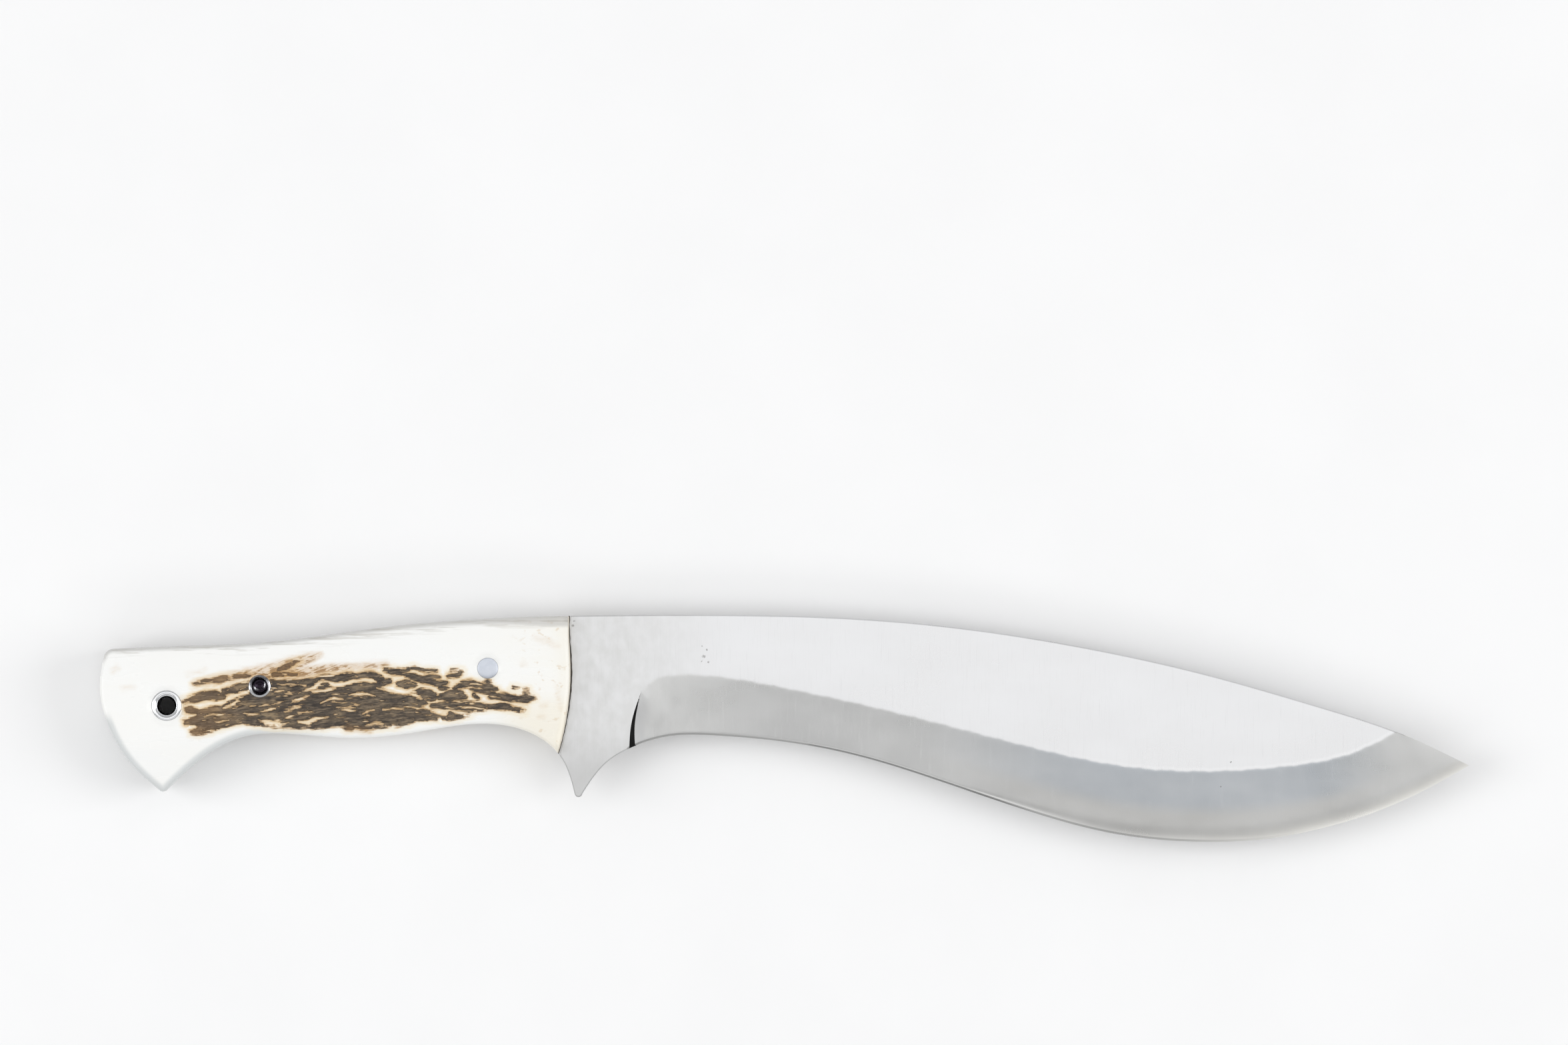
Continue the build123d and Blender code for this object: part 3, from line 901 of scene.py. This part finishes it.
def new_group(name, kind, inputs, outputs):
    """Empty node group with named sockets, and its tree, input sockets and output node."""
    group = bpy.data.node_groups.new(name, kind)
    for title, socket, value in inputs:
        made = group.interface.new_socket(title, in_out="INPUT", socket_type=socket)
        if value is not None:
            made.default_value = value
    for title, socket in outputs:
        group.interface.new_socket(title, in_out="OUTPUT", socket_type=socket)
    t = Tree(group)
    return group, t, t.node("NodeGroupInput").outputs, t.node("NodeGroupOutput")


# ---------------------------------------------------------------- bark on the antler

def bark_tree():
    """Geometry nodes that carve the slits, frayed ridges and soft unevenness of stag bark."""
    tree, t, given, out = new_group("Stag bark", "GeometryNodeTree", [
        ("Geometry", "NodeSocketGeometry", None), ("Datum", "NodeSocketVector", (0, 0, 0)),
        ("Slit Length", "NodeSocketFloat", 8.0), ("Slit Width", "NodeSocketFloat", 1.1),
        ("Slits", "NodeSocketFloat", 0.3), ("Fray", "NodeSocketFloat", 0.7),
        ("Relief", "NodeSocketFloat", 0.45), ("Sunk", "NodeSocketFloat", 0.57),
        ("Bow", "NodeSocketFloat", 0.002), ("Bow Centre", "NodeSocketFloat", -55.0),
        ("Side", "NodeSocketFloat", 1.0), ("Seed", "NodeSocketFloat", 0.0),
        ("Material", "NodeSocketMaterial", None),
    ], [("Geometry", "NodeSocketGeometry")])
    place = t.node("GeometryNodeInputPosition").outputs[0]
    x, y, _ = t.parts(t.vector("MULTIPLY", t.vector("SUBTRACT", place, given["Datum"]), PER_METRE))
    from_centre = t.minus(x, given["Bow Centre"])
    bowed = t.plus(y, t.times(from_centre, from_centre, given["Bow"]))
    v = t.plus(bowed, given["Seed"])
    depth, carved = (
        t.node("GeometryNodeInputNamedAttribute", {"Name": name}, data_type="FLOAT").outputs[0]
        for name in ("bark_depth", "carved"))

    def flowing(length, width, layer, detail=2.0):
        """Noise drawn out along the handle."""
        return t.noise(t.combine(t.over(x, length), t.over(v, width), layer), detail, 0.55)

    def uneven_about_zero(*shape):
        return t.minus(flowing(*shape), 0.5)

    slit = flowing(given["Slit Length"], given["Slit Width"], 1.0)
    short_slit = flowing(t.times(given["Slit Length"], 0.4), t.times(given["Slit Width"], 0.55),
                         4.0, 1.0)
    opening = t.plus(t.step(depth, 0.0, 4.0, 0.05, 0.0), t.times(given["Slits"], 0.2))
    wide = t.times(t.minus(t.minus(0.71, opening), slit), 6.0)
    fine = t.times(t.minus(t.minus(0.75, opening), short_slit), 4.0)
    frayed = uneven_about_zero(2.4, 0.5, 5.0, 3.0)
    ridge = t.plus(depth, t.times(frayed, given["Fray"]))
    ridge = t.math("MINIMUM", ridge, t.math("MINIMUM", wide, fine))
    ridge = t.plus(ridge, t.times(frayed, 0.3))
    lifted = t.times(t.step(ridge, -0.35, 0.6), given["Relief"])
    soft = uneven_about_zero(26.0, 9.0, 11.0, 1.0)
    uneven = t.times(uneven_about_zero(5.0, 1.3, 8.0), t.step(ridge, -0.2, 0.8, 0.0, 0.5))
    lifted = t.plus(lifted, t.plus(uneven, t.times(soft, 0.35)))
    lifted = t.times(t.minus(lifted, given["Sunk"]), carved, MM)
    moved = t.node("GeometryNodeSetPosition", {
        "Geometry": given["Geometry"],
        "Offset": t.combine(0.0, 0.0, t.times(lifted, given["Side"]))})
    kept = t.node("GeometryNodeStoreNamedAttribute",
                  {"Geometry": moved.outputs[0], "Name": "ridge", "Value": ridge},
                  data_type="FLOAT", domain="POINT")
    real = t.node("GeometryNodeRealizeInstances", {"Geometry": kept.outputs[0]})
    painted = t.node("GeometryNodeSetMaterial", {"Geometry": real.outputs[0],
                                                 "Material": given["Material"]})
    t.feed(out.inputs[0], painted.outputs[0])
    return tree


def carved_by(obj, tree, **settings):
    """The object as a plain mesh, after a geometry nodes tree has worked on it."""
    modifier = obj.modifiers.new("carving", "NODES")
    modifier.node_group = tree
    ids = {item.name: item.identifier for item in tree.interface.items_tree
           if item.in_out == "INPUT"}
    for key, value in settings.items():
        modifier[ids[key.replace("_", " ")]] = value
    bpy.context.view_layer.update()
    evaluated = obj.evaluated_get(bpy.context.evaluated_depsgraph_get())
    mesh = bpy.data.meshes.new_from_object(evaluated)
    obj.modifiers.remove(modifier)
    obj.data = mesh
    return obj


# ---------------------------------------------------------------- effects that materials share

def mottle_group():
    """Cloudy unevenness, of a size in millimetres, stretched along the knife."""
    group, t, given, out = new_group("Mottle", "ShaderNodeTree", [
        ("Size", "NodeSocketFloat", 10.0), ("Stretch", "NodeSocketFloat", 1.0),
        ("Fineness", "NodeSocketFloat", 3.0)], [("Value", "NodeSocketFloat")])
    size = given["Size"]
    cloud = t.stretched_noise(t.parts(t.place()), (t.times(size, given["Stretch"]), size, size),
                              given["Fineness"], 0.55)
    t.feed(out.inputs["Value"], t.step(cloud, 0.25, 0.75))
    return group


def scratches_group():
    """Fine straight marks of grinding and handling: how deep, and how bright."""
    group, t, given, out = new_group("Fine scratches", "ShaderNodeTree", [
        ("Across", "NodeSocketFloat", 0.2), ("Along", "NodeSocketFloat", 8.0),
        ("Angle", "NodeSocketFloat", 0.0)],
        [("Height", "NodeSocketFloat"), ("Mask", "NodeSocketFloat")])
    turned = t.node("ShaderNodeVectorRotate", {"Vector": t.place(), "Angle": given["Angle"]},
                    rotation_type="Z_AXIS").outputs[0]
    along = given["Along"]
    marks = t.stretched_noise(t.parts(turned), (given["Across"], along, along), 2.0, 0.6)
    t.feed(out.inputs["Height"], marks)
    t.feed(out.inputs["Mask"], t.step(marks, 0.58, 0.72))
    return group


MOTTLE = mottle_group()
SCRATCHES = scratches_group()


# ---------------------------------------------------------------- materials
#
# Places and distances are in drawn millimetres. A mask made by step is nothing at the first
# place it is given and full at the second. Colours are red, green and blue in linear light.

def new_material(name, **settings):
    """Material with its shader's fixed values set, its tree, and its Principled BSDF."""
    material = bpy.data.materials.new(name)
    material.use_nodes = True
    shader = material.node_tree.nodes["Principled BSDF"]
    for key, value in settings.items():
        shader.inputs[key.replace("_", " ")].default_value = value
    return material, Tree(material.node_tree), shader


def finished(material, t, shader, colour, roughness, normal):
    """The material, with what changes over its surface fed to its shader."""
    t.feed(shader.inputs["Base Color"], colour)
    t.feed(shader.inputs["Roughness"], roughness)
    t.feed(shader.inputs["Normal"], normal)
    return material


def spot_at(t, x, y, place, low, high):
    """Soft disc about a drawn place: one within the low radius, nothing past the high one."""
    across, up = t.minus(x, place[0]), t.minus(y, place[1])
    off = t.math("SQRT", t.plus(t.times(across, across), t.times(up, up)))
    ragged = t.group(MOTTLE, Size=0.5, Fineness=1.0)[0]
    return t.step(t.plus(off, t.times(t.minus(ragged, 0.5), 0.35)), high, low)


def grey(value):
    """A neutral colour."""
    return (value, value, value)


FLAT, BRIGHT_FLAT = (0.80, 0.80, 0.805), (0.85, 0.855, 0.865)
RUBBED_AND_SHADED_FLAT, GREYER_SPUR = (0.685, 0.685, 0.675), (0.56, 0.56, 0.555)
BEVEL_BY_HANDLE, BEVEL, CLOUDED_BEVEL = (0.80, 0.80, 0.785), (0.745, 0.745, 0.735), grey(0.72)
WARM_BEVEL, COOL_BEVEL = (0.665, 0.66, 0.64), (0.575, 0.605, 0.635)
BEVEL_AT_TIP, SHOULDER_HIGHLIGHT = (0.69, 0.69, 0.675), (0.89, 0.89, 0.895)
ROLLED_EDGE_HIGHLIGHT, HONED_EDGE_DARK_REFLECTION = (0.90, 0.888, 0.845), (0.34, 0.34, 0.335)
DRAWN_MARK, PIT, PLUNGE_PAINTED_SHADE = grey(0.5), (0.22, 0.21, 0.20), grey(0.012)
PITS = [  # place and radius of each
    ((37.3, -11.2), 0.42), ((38.1, -9.3), 0.22), ((36.7, -12.5), 0.25), ((38.6, -12.7), 0.2),
    ((36.9, -8.2), 0.16), ((0.95, -2.6), 0.4), ((1.2, -1.3), 0.3), ((181.5, -47.6), 0.2),
    ((184.3, -40.6), 0.2),
]


def steel_material():
    """Satin steel: brighter flats, greyer bevels drawn across the blade and partly painted light and
    shade, painted highlights on shoulder and edge, a painted dark edge reflection, a plunge wall
    painted black as shade.
    """
    material, t, shader = new_material("satin_steel", Metallic=1.0)
    from_shoulder, from_edge = t.attribute("from_shoulder"), t.attribute("from_edge")
    x, y, _ = t.parts(t.place(DATUM))
    cloud = t.group(MOTTLE, Size=14.0, Stretch=2.0)[0]
    rubbed = t.group(MOTTLE, Size=5.0, Stretch=0.6, Fineness=4.0)[0]
    drawn_marks = t.group(SCRATCHES, Across=0.16, Along=9.0)
    long_marks = t.group(SCRATCHES, Across=0.3, Along=25.0, Angle=math.pi / 2)

    flat = t.mix(t.times(cloud, 0.6), FLAT, BRIGHT_FLAT)
    # flats darker towards the handle: partly a rubbed finish, partly painted shade
    flat = t.tint(flat, RUBBED_AND_SHADED_FLAT, t.step(x, 50.0, 8.0), t.blend(rubbed, 0.35, 0.9))
    # greyer down towards the spur
    flat = t.tint(flat, GREYER_SPUR, t.step(y, -28.0, -46.0), t.step(x, 26.0, 14.0), 0.75)

    # the bevel's tones, set place by place along the blade: partly its ground finish, partly painted
    # light and shade
    up_bevel = t.step(t.plus(from_edge, from_shoulder), -7.0, 3.0)
    ground = t.mix(t.step(x, 90.0, 150.0), BEVEL, t.mix(up_bevel, WARM_BEVEL, COOL_BEVEL))
    ground = t.tint(ground, BEVEL_BY_HANDLE, t.step(x, 60.0, 25.0))
    ground = t.tint(ground, BEVEL_AT_TIP, t.step(x, 205.0, 235.0))
    ground = t.tint(ground, CLOUDED_BEVEL, cloud, 0.25)
    colour = t.tint(flat, ground, t.step(from_shoulder, 0.3, -0.4), t.step(x, 17.5, 24.0))
    # a painted highlight along the shoulder
    shoulder_highlight = t.times(t.step(from_shoulder, 1.3, 0.5), t.step(from_shoulder, 0.0, 0.4))
    colour = t.tint(colour, SHOULDER_HIGHLIGHT, shoulder_highlight, t.step(x, 110.0, 190.0, 0.0, 0.55))

    # a painted cream highlight along the rolled edge towards the tip
    colour = t.tint(colour, ROLLED_EDGE_HIGHLIGHT, t.step(from_edge, 4.2, 0.6), t.step(x, 135.0, 225.0))
    # a painted dark reflection along the honed edge
    colour = t.tint(colour, HONED_EDGE_DARK_REFLECTION, t.step(from_edge, 0.75, 0.4), t.step(x, 215.0, 150.0),
                    0.85)
    colour = t.tint(colour, DRAWN_MARK, drawn_marks["Mask"], 0.12)
    pits = 0.0
    for place, radius in PITS:
        pits = t.math("MAXIMUM", pits, spot_at(t, x, y, place, radius * 0.4, radius * 1.3))
    colour = t.tint(colour, PIT, pits, 0.6)
    # the plunge's end wall painted black as shade
    colour = t.tint(colour, PLUNGE_PAINTED_SHADE, t.step(t.attribute("plunge_wall"), -0.05, 0.08))

    rough = t.plus(t.blend(cloud, 0.26, 0.33), t.times(drawn_marks["Mask"], 0.08),
                   t.times(rubbed, t.step(x, 50.0, 8.0, 0.0, 0.08)))
    height = t.plus(drawn_marks["Height"], t.times(long_marks["Height"], 0.6))
    grain = t.bump(t.minus(height, t.times(pits, 2.0)), 0.28, 0.00001)
    waves = t.group(MOTTLE, Size=22.0, Stretch=1.6, Fineness=1.0)[0]
    return finished(material, t, shader, colour, rough, t.bump(waves, 0.5, 0.0002, Normal=grain))


BONE, CLOUDED_BONE, CREAM = (0.93, 0.935, 0.92), (0.92, 0.90, 0.84), (0.92, 0.885, 0.79)
DEEP_CREAM, FLECK, SEAM_BONE = (0.88, 0.81, 0.65), (0.62, 0.43, 0.22), (0.62, 0.56, 0.45)
SHADED_TOP_RIM, SHADED_LOWER_RIM, SPINE_STREAK = (0.50, 0.49, 0.47), (0.55, 0.58, 0.585), (0.42, 0.39, 0.34)
STRAW, TAN, GOLD = (0.88, 0.76, 0.54), (0.76, 0.57, 0.32), (0.62, 0.40, 0.18)
RUST, BARK_BORDER = (0.26, 0.135, 0.05), (0.50, 0.30, 0.12)
BARK_FIBRES = [(0.2, (0.030, 0.022, 0.016)), (0.5, (0.072, 0.053, 0.037)),
               (0.72, (0.145, 0.106, 0.068)), (0.9, (0.27, 0.20, 0.12))]
FOLD_HIGHLIGHT, FOLD_SHADE, BROWN_END = (0.30, 0.225, 0.14), (0.022, 0.015, 0.011), (0.28, 0.155, 0.06)
WORN_BARK, PALE_WORN_BARK = (0.20, 0.145, 0.085), (0.42, 0.30, 0.165)
BARK_SHADE = (0.03, 0.02, 0.014)


def antler_material():
    """Polished bone with cream and tan round brown, fibrous bark."""
    material, t, shader = new_material("stag_antler")
    ridge, stain = t.attribute("ridge"), t.attribute("stain")
    from_rim, from_seam = t.attribute("from_rim"), t.attribute("from_seam")
    x, y, _ = t.parts(t.place(DATUM))
    cloud = t.group(MOTTLE, Size=9.0, Stretch=3.0)[0]
    grain = t.group(MOTTLE, Size=0.45, Stretch=6.0, Fineness=4.0)[0]
    streak = t.group(MOTTLE, Size=0.8, Stretch=16.0, Fineness=3.0)[0]
    speck = t.group(MOTTLE, Size=1.6, Stretch=1.4, Fineness=3.0)[0]

    # polished bone: white, creamier towards the front, streaked along the spine, with painted shade
    # along the top and lower rims
    bone = t.mix(t.times(cloud, 0.3), BONE, CLOUDED_BONE)
    bone = t.tint(bone, CREAM, t.step(x, -26.0, -2.0), t.blend(cloud, 0.05, 0.45))
    by_seam = t.times(t.step(from_seam, 6.0, 0.5), t.step(y, -18.0, -28.0, 0.2, 0.65))
    low_front = t.times(t.step(x, -26.0, -10.0), t.step(y, -19.0, -27.0, 0.0, 0.5))
    bone = t.tint(bone, DEEP_CREAM, t.math("MAXIMUM", by_seam, low_front))
    bone = t.tint(bone, FLECK, t.step(speck, 0.80, 1.0), t.step(x, -20.0, -6.0), 0.35)
    # painted shade along the top rim, widening towards the seam
    band = t.minus(from_rim, t.step(x, -70.0, 0.0, 0.0, 0.9))
    band = t.minus(band, t.step(x, -24.0, 0.0, 0.0, 1.1))
    bone = t.tint(bone, SHADED_TOP_RIM, t.step(band, 1.6, 0.2), t.step(y, -14.0, -10.0), 0.66)
    # painted shade along the lower rim, strongest round the pommel
    bone = t.tint(bone, SHADED_LOWER_RIM, t.step(from_rim, 2.3, 0.9), t.step(y, -26.0, -30.0),
                  t.step(x, -60.0, -95.0, 0.04, 0.68))
    bone = t.tint(bone, SPINE_STREAK, t.step(from_rim, 4.2, 1.0), t.step(y, -13.0, -9.0),
                  t.step(streak, 0.55, 0.9), 0.45)
    bone = t.tint(bone, SEAM_BONE, t.step(from_seam, 0.5, 0.0))

    # stained bone about the bark
    near = t.plus(ridge, t.times(t.minus(grain, 0.5), 0.5))
    bone = t.tint(bone, STRAW, t.step(near, -1.7, -0.5), t.blend(cloud, 0.3, 0.6))
    bone = t.tint(bone, TAN, t.step(near, -1.3, -0.3),
                  t.step(t.attribute("bark_wide"), 0.3, 1.8), 0.7)
    rising = t.group(SCRATCHES, Across=0.5, Along=7.0, Angle=math.radians(66))["Height"]
    patchy = t.plus(t.times(grain, 0.25), t.plus(t.times(speck, 0.35), rising))
    patchy = t.step(patchy, 0.62, 1.02)
    bone = t.tint(bone, GOLD, stain, t.blend(patchy, 0.55, 1.0), 0.95)
    bone = t.tint(bone, RUST, t.step(stain, 0.5, 1.0), t.step(patchy, 0.4, 0.9), 0.7)
    bone = t.tint(bone, BARK_BORDER, t.step(near, -0.42, -0.08), 0.75)

    # bark: dark ridges, with paler fibres and browner ends, painted highlights and shade on fine
    # folds, painted shade at the ridges' edges
    fibre = t.plus(t.times(grain, 0.55), t.plus(t.times(cloud, 0.2), t.times(speck, 0.25)))
    bark = t.ramp(fibre, BARK_FIBRES)
    folds = t.group(SCRATCHES, Across=0.62, Along=4.6, Angle=math.radians(80))["Height"]
    patch = t.group(MOTTLE, Size=2.3, Stretch=2.4, Fineness=3.0)[0]
    # painted highlights on the tops of fine folds, painted shade at their feet
    bark = t.tint(bark, FOLD_HIGHLIGHT, t.step(folds, 0.52, 0.72), 0.55)
    bark = t.tint(bark, FOLD_SHADE, t.step(folds, 0.44, 0.32), 0.7)
    bark = t.tint(bark, t.mix(grain, WORN_BARK, PALE_WORN_BARK), t.step(patch, 0.5, 0.95),
                  t.step(ridge, 0.1, 0.8), t.step(x, -60.0, -100.0, 0.5, 0.9))
    brown_end = t.times(t.step(x, -86.0, -106.0), t.blend(patch, 0.35, 1.0))
    bark = t.tint(bark, BROWN_END, t.math("MAXIMUM", brown_end, stain), 0.6)
    bark = t.tint(bark, BARK_SHADE, t.step(ridge, 0.45, 0.05), t.step(patch, 0.9, 0.3), 0.55)

    is_bark = t.step(near, -0.12, 0.16)
    rough = t.blend(is_bark, t.blend(cloud, 0.22, 0.34), 0.5)
    height = t.plus(t.times(grain, t.blend(is_bark, 0.05, 1.0)), t.times(streak, 0.1))
    return finished(material, t, shader, t.mix(is_bark, bone, bark), rough,
                    t.bump(height, 0.8, 0.00012))


BRIGHT_PIN, BRIGHTEST_PIN = (0.86, 0.87, 0.89), (0.93, 0.935, 0.94)
GREY_PIN, GREYEST_PIN = (0.66, 0.69, 0.75), (0.60, 0.635, 0.70)
CUP_SHADE, CUP_DARK_REFLECTION, BORE_SHADE = (0.07, 0.065, 0.075), (0.022, 0.017, 0.024), (0.03, 0.026, 0.03)
PIN_SCRATCH = (0.45, 0.46, 0.48)
CUP_SHADE_TOWARDS = (-0.34, 0.94)  # the side of the cup that lies in shade
DARK_REFLECTION_OFF_CENTRE = (-0.3, 0.85)


def pin_material():
    """Bright pin metal, rubbed with the scales; painted shade and a painted dark reflection in the
    rivet's cup, painted shade down the tube's bore, a greyer solid pin.
    """
    material, t, shader = new_material("pin_metal", Metallic=1.0)
    one_way = t.group(SCRATCHES, Across=0.1, Along=3.0, Angle=0.5)
    other_way = t.group(SCRATCHES, Across=0.12, Along=2.2, Angle=1.9)
    cloud = t.group(MOTTLE, Size=2.0)[0]
    x, y, z = t.parts(t.place(DATUM))
    colour = t.mix(cloud, BRIGHT_PIN, BRIGHTEST_PIN)
    on_pin = spot_at(t, x, y, SOLID_PIN_AT, 4.0, 5.0)
    colour = t.tint(colour, t.mix(cloud, GREYEST_PIN, GREY_PIN), on_pin)
    cup_x, cup_y = CUP_RIVET_AT
    left, up = -CUP_SHADE_TOWARDS[0], CUP_SHADE_TOWARDS[1]
    upwards = t.minus(t.times(y, up), t.times(x, left))
    middle = up * cup_y - left * cup_x
    colour = t.tint(colour, CUP_SHADE, t.step(upwards, middle + 0.2, middle + 1.4),
                    spot_at(t, x, y, CUP_RIVET_AT, 3.3, 3.6), 0.8)
    # a painted dark reflection in the cup, off centre towards its shaded side
    dark_reflection_at = cup_x + DARK_REFLECTION_OFF_CENTRE[0], cup_y + DARK_REFLECTION_OFF_CENTRE[1]
    colour = t.tint(colour, CUP_DARK_REFLECTION, spot_at(t, x, y, dark_reflection_at, 1.5, 1.95))
    # painted shade down the lanyard tube's bore
    colour = t.tint(colour, BORE_SHADE, spot_at(t, x, y, LANYARD_AT, 2.6, 2.9),
                    t.step(t.math("ABSOLUTE", z), 11.0, 9.5), 0.95)
    colour = t.tint(colour, PIN_SCRATCH, one_way["Mask"], 0.15)
    rough = t.plus(t.times(cloud, 0.08), t.blend(on_pin, 0.1, 0.26),
                   t.times(other_way["Mask"], 0.1))
    height = t.plus(one_way["Height"], other_way["Height"])
    return finished(material, t, shader, colour, rough, t.bump(height, 0.3, 0.00001))


DARK_GLUE, DUSTY_GLUE = (0.028, 0.025, 0.022), (0.10, 0.085, 0.07)


def glue_material():
    """Dark cured glue, with dust and bone powder rubbed into it."""
    material, t, shader = new_material("cured_glue")
    cloud = t.group(MOTTLE, Size=1.2, Fineness=4.0)[0]
    return finished(material, t, shader, t.mix(cloud, DARK_GLUE, DUSTY_GLUE),
                    t.blend(cloud, 0.3, 0.6), t.bump(cloud, 0.5, 0.00005))


# ---------------------------------------------------------------- the pieces, on their body

def settle(obj, slot, material, *nodes):
    """Gives a finished piece its material if it has none, and its body, and hides the CAD nodes it
    stands for.
    """
    if not obj.data.materials:
        obj.data.materials.append(material)
    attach(obj, BODY)
    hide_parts(*nodes)


STEEL, ANTLER = steel_material(), antler_material()
PIN_METAL, GLUE = pin_material(), glue_material()
BARK = bark_tree()

settle(blade_object(), "steel", STEEL, "blade")
for node, side, seed, slits in (("front_scale", 1, 0.0, 0.1), ("back_scale", -1, 137.0, 0.7)):
    scale = carved_by(scale_object(node + "_antler", side), BARK, Datum=tuple(DATUM),
                      Slits=slits, Side=float(side), Seed=seed, Material=ANTLER)
    settle(scale, "antler", ANTLER, node)
for node, side in (("front_glue_film", 1), ("back_glue_film", -1)):
    settle(glue_object(node + "_bead", side), "glue", GLUE, node)
settle(solid_pin_object(), "pin_metal", PIN_METAL, "solid_pin")
settle(cup_rivet_object(), "pin_metal", PIN_METAL, "cup_rivet")
settle(lanyard_tube_object(), "pin_metal", PIN_METAL, "lanyard_tube")


# ---------------------------------------------------------------- floor, light and camera

FLOOR_REACH = 4.0  # in metres, from the middle to each side
LIGHT_HEIGHT = 1.5


def floor_material():
    """Pale paper, very slightly clouded."""
    material, t, shader = new_material("studio_paper", Roughness=0.9)
    cloud = t.group(MOTTLE, Size=60.0)[0]
    t.feed(shader.inputs["Base Color"], t.mix(cloud, grey(0.93), grey(0.95)))
    return material


def studio_floor():
    """Pale paper that the knife lies on, far wider than the view."""
    mesh = bpy.data.meshes.new("studio_floor")
    corners = [(x * FLOOR_REACH, y * FLOOR_REACH, 0)
               for x, y in ((-1, -1), (1, -1), (1, 1), (-1, 1))]
    mesh.from_pydata(corners, [], [(0, 1, 2, 3)])
    floor = bpy.data.objects.new("studio_floor", mesh)
    bpy.context.scene.collection.objects.link(floor)
    floor.data.materials.append(floor_material())


def soft_light(name, place, aim, size, brightness):
    """Large rectangular soft light at a place, aimed at another, of an even brightness."""
    light = bpy.data.lights.new(name, "AREA")
    light.shape, light.size, light.size_y = "RECTANGLE", *size
    light.energy = brightness * math.pi * size[0] * size[1]
    obj = bpy.data.objects.new(name, light)
    bpy.context.scene.collection.objects.link(obj)
    obj.location = place
    obj.rotation_euler = (Vector(aim) - Vector(place)).to_track_quat("-Z", "Y").to_euler()


def studio():
    """Floor, even sky, a broad light overhead towards the spine, and low ones round about."""
    studio_floor()
    soft_light("overhead", (0.0, 0.40, LIGHT_HEIGHT), (0.0, 0.40, 0.0), (1.9, 1.4), 0.60)
    for name, x in (("left", -1.7), ("right", 1.7)):
        soft_light(name, (x, 0.0, LIGHT_HEIGHT), (0, 0, 0.1), (1.2, 1.6), 2.65)
    soft_light("front", (0.0, -1.35, LIGHT_HEIGHT), (0, 0, 0.1), (2.6, 0.6), 0.8)
    world = bpy.data.worlds.new("even_sky")
    world.use_nodes = True
    sky = world.node_tree.nodes["Background"]
    sky.inputs["Color"].default_value = (0.985, 0.99, 1.0, 1)
    sky.inputs["Strength"].default_value = 0.45
    bpy.context.scene.world = world
    bpy.context.scene.view_settings.view_transform = "Standard"


VIEW_WIDTH = 437.2 * MM
VIEW_CENTRE = (59.7, 26.2)  # drawn place in the middle of the view
LENS = 500.0
SENSOR = 36.0  # width


def camera():
    """Long lens looking straight down."""
    lens = bpy.data.cameras.new("camera")
    lens.lens, lens.sensor_width = LENS, SENSOR
    obj = bpy.data.objects.new("camera", lens)
    bpy.context.scene.collection.objects.link(obj)
    place = Vector((VIEW_CENTRE[0], VIEW_CENTRE[1], BLADE_HALF)) * MM + DATUM
    obj.location = place + Vector((0, 0, VIEW_WIDTH * LENS / SENSOR))
    bpy.context.scene.camera = obj


studio()
camera()
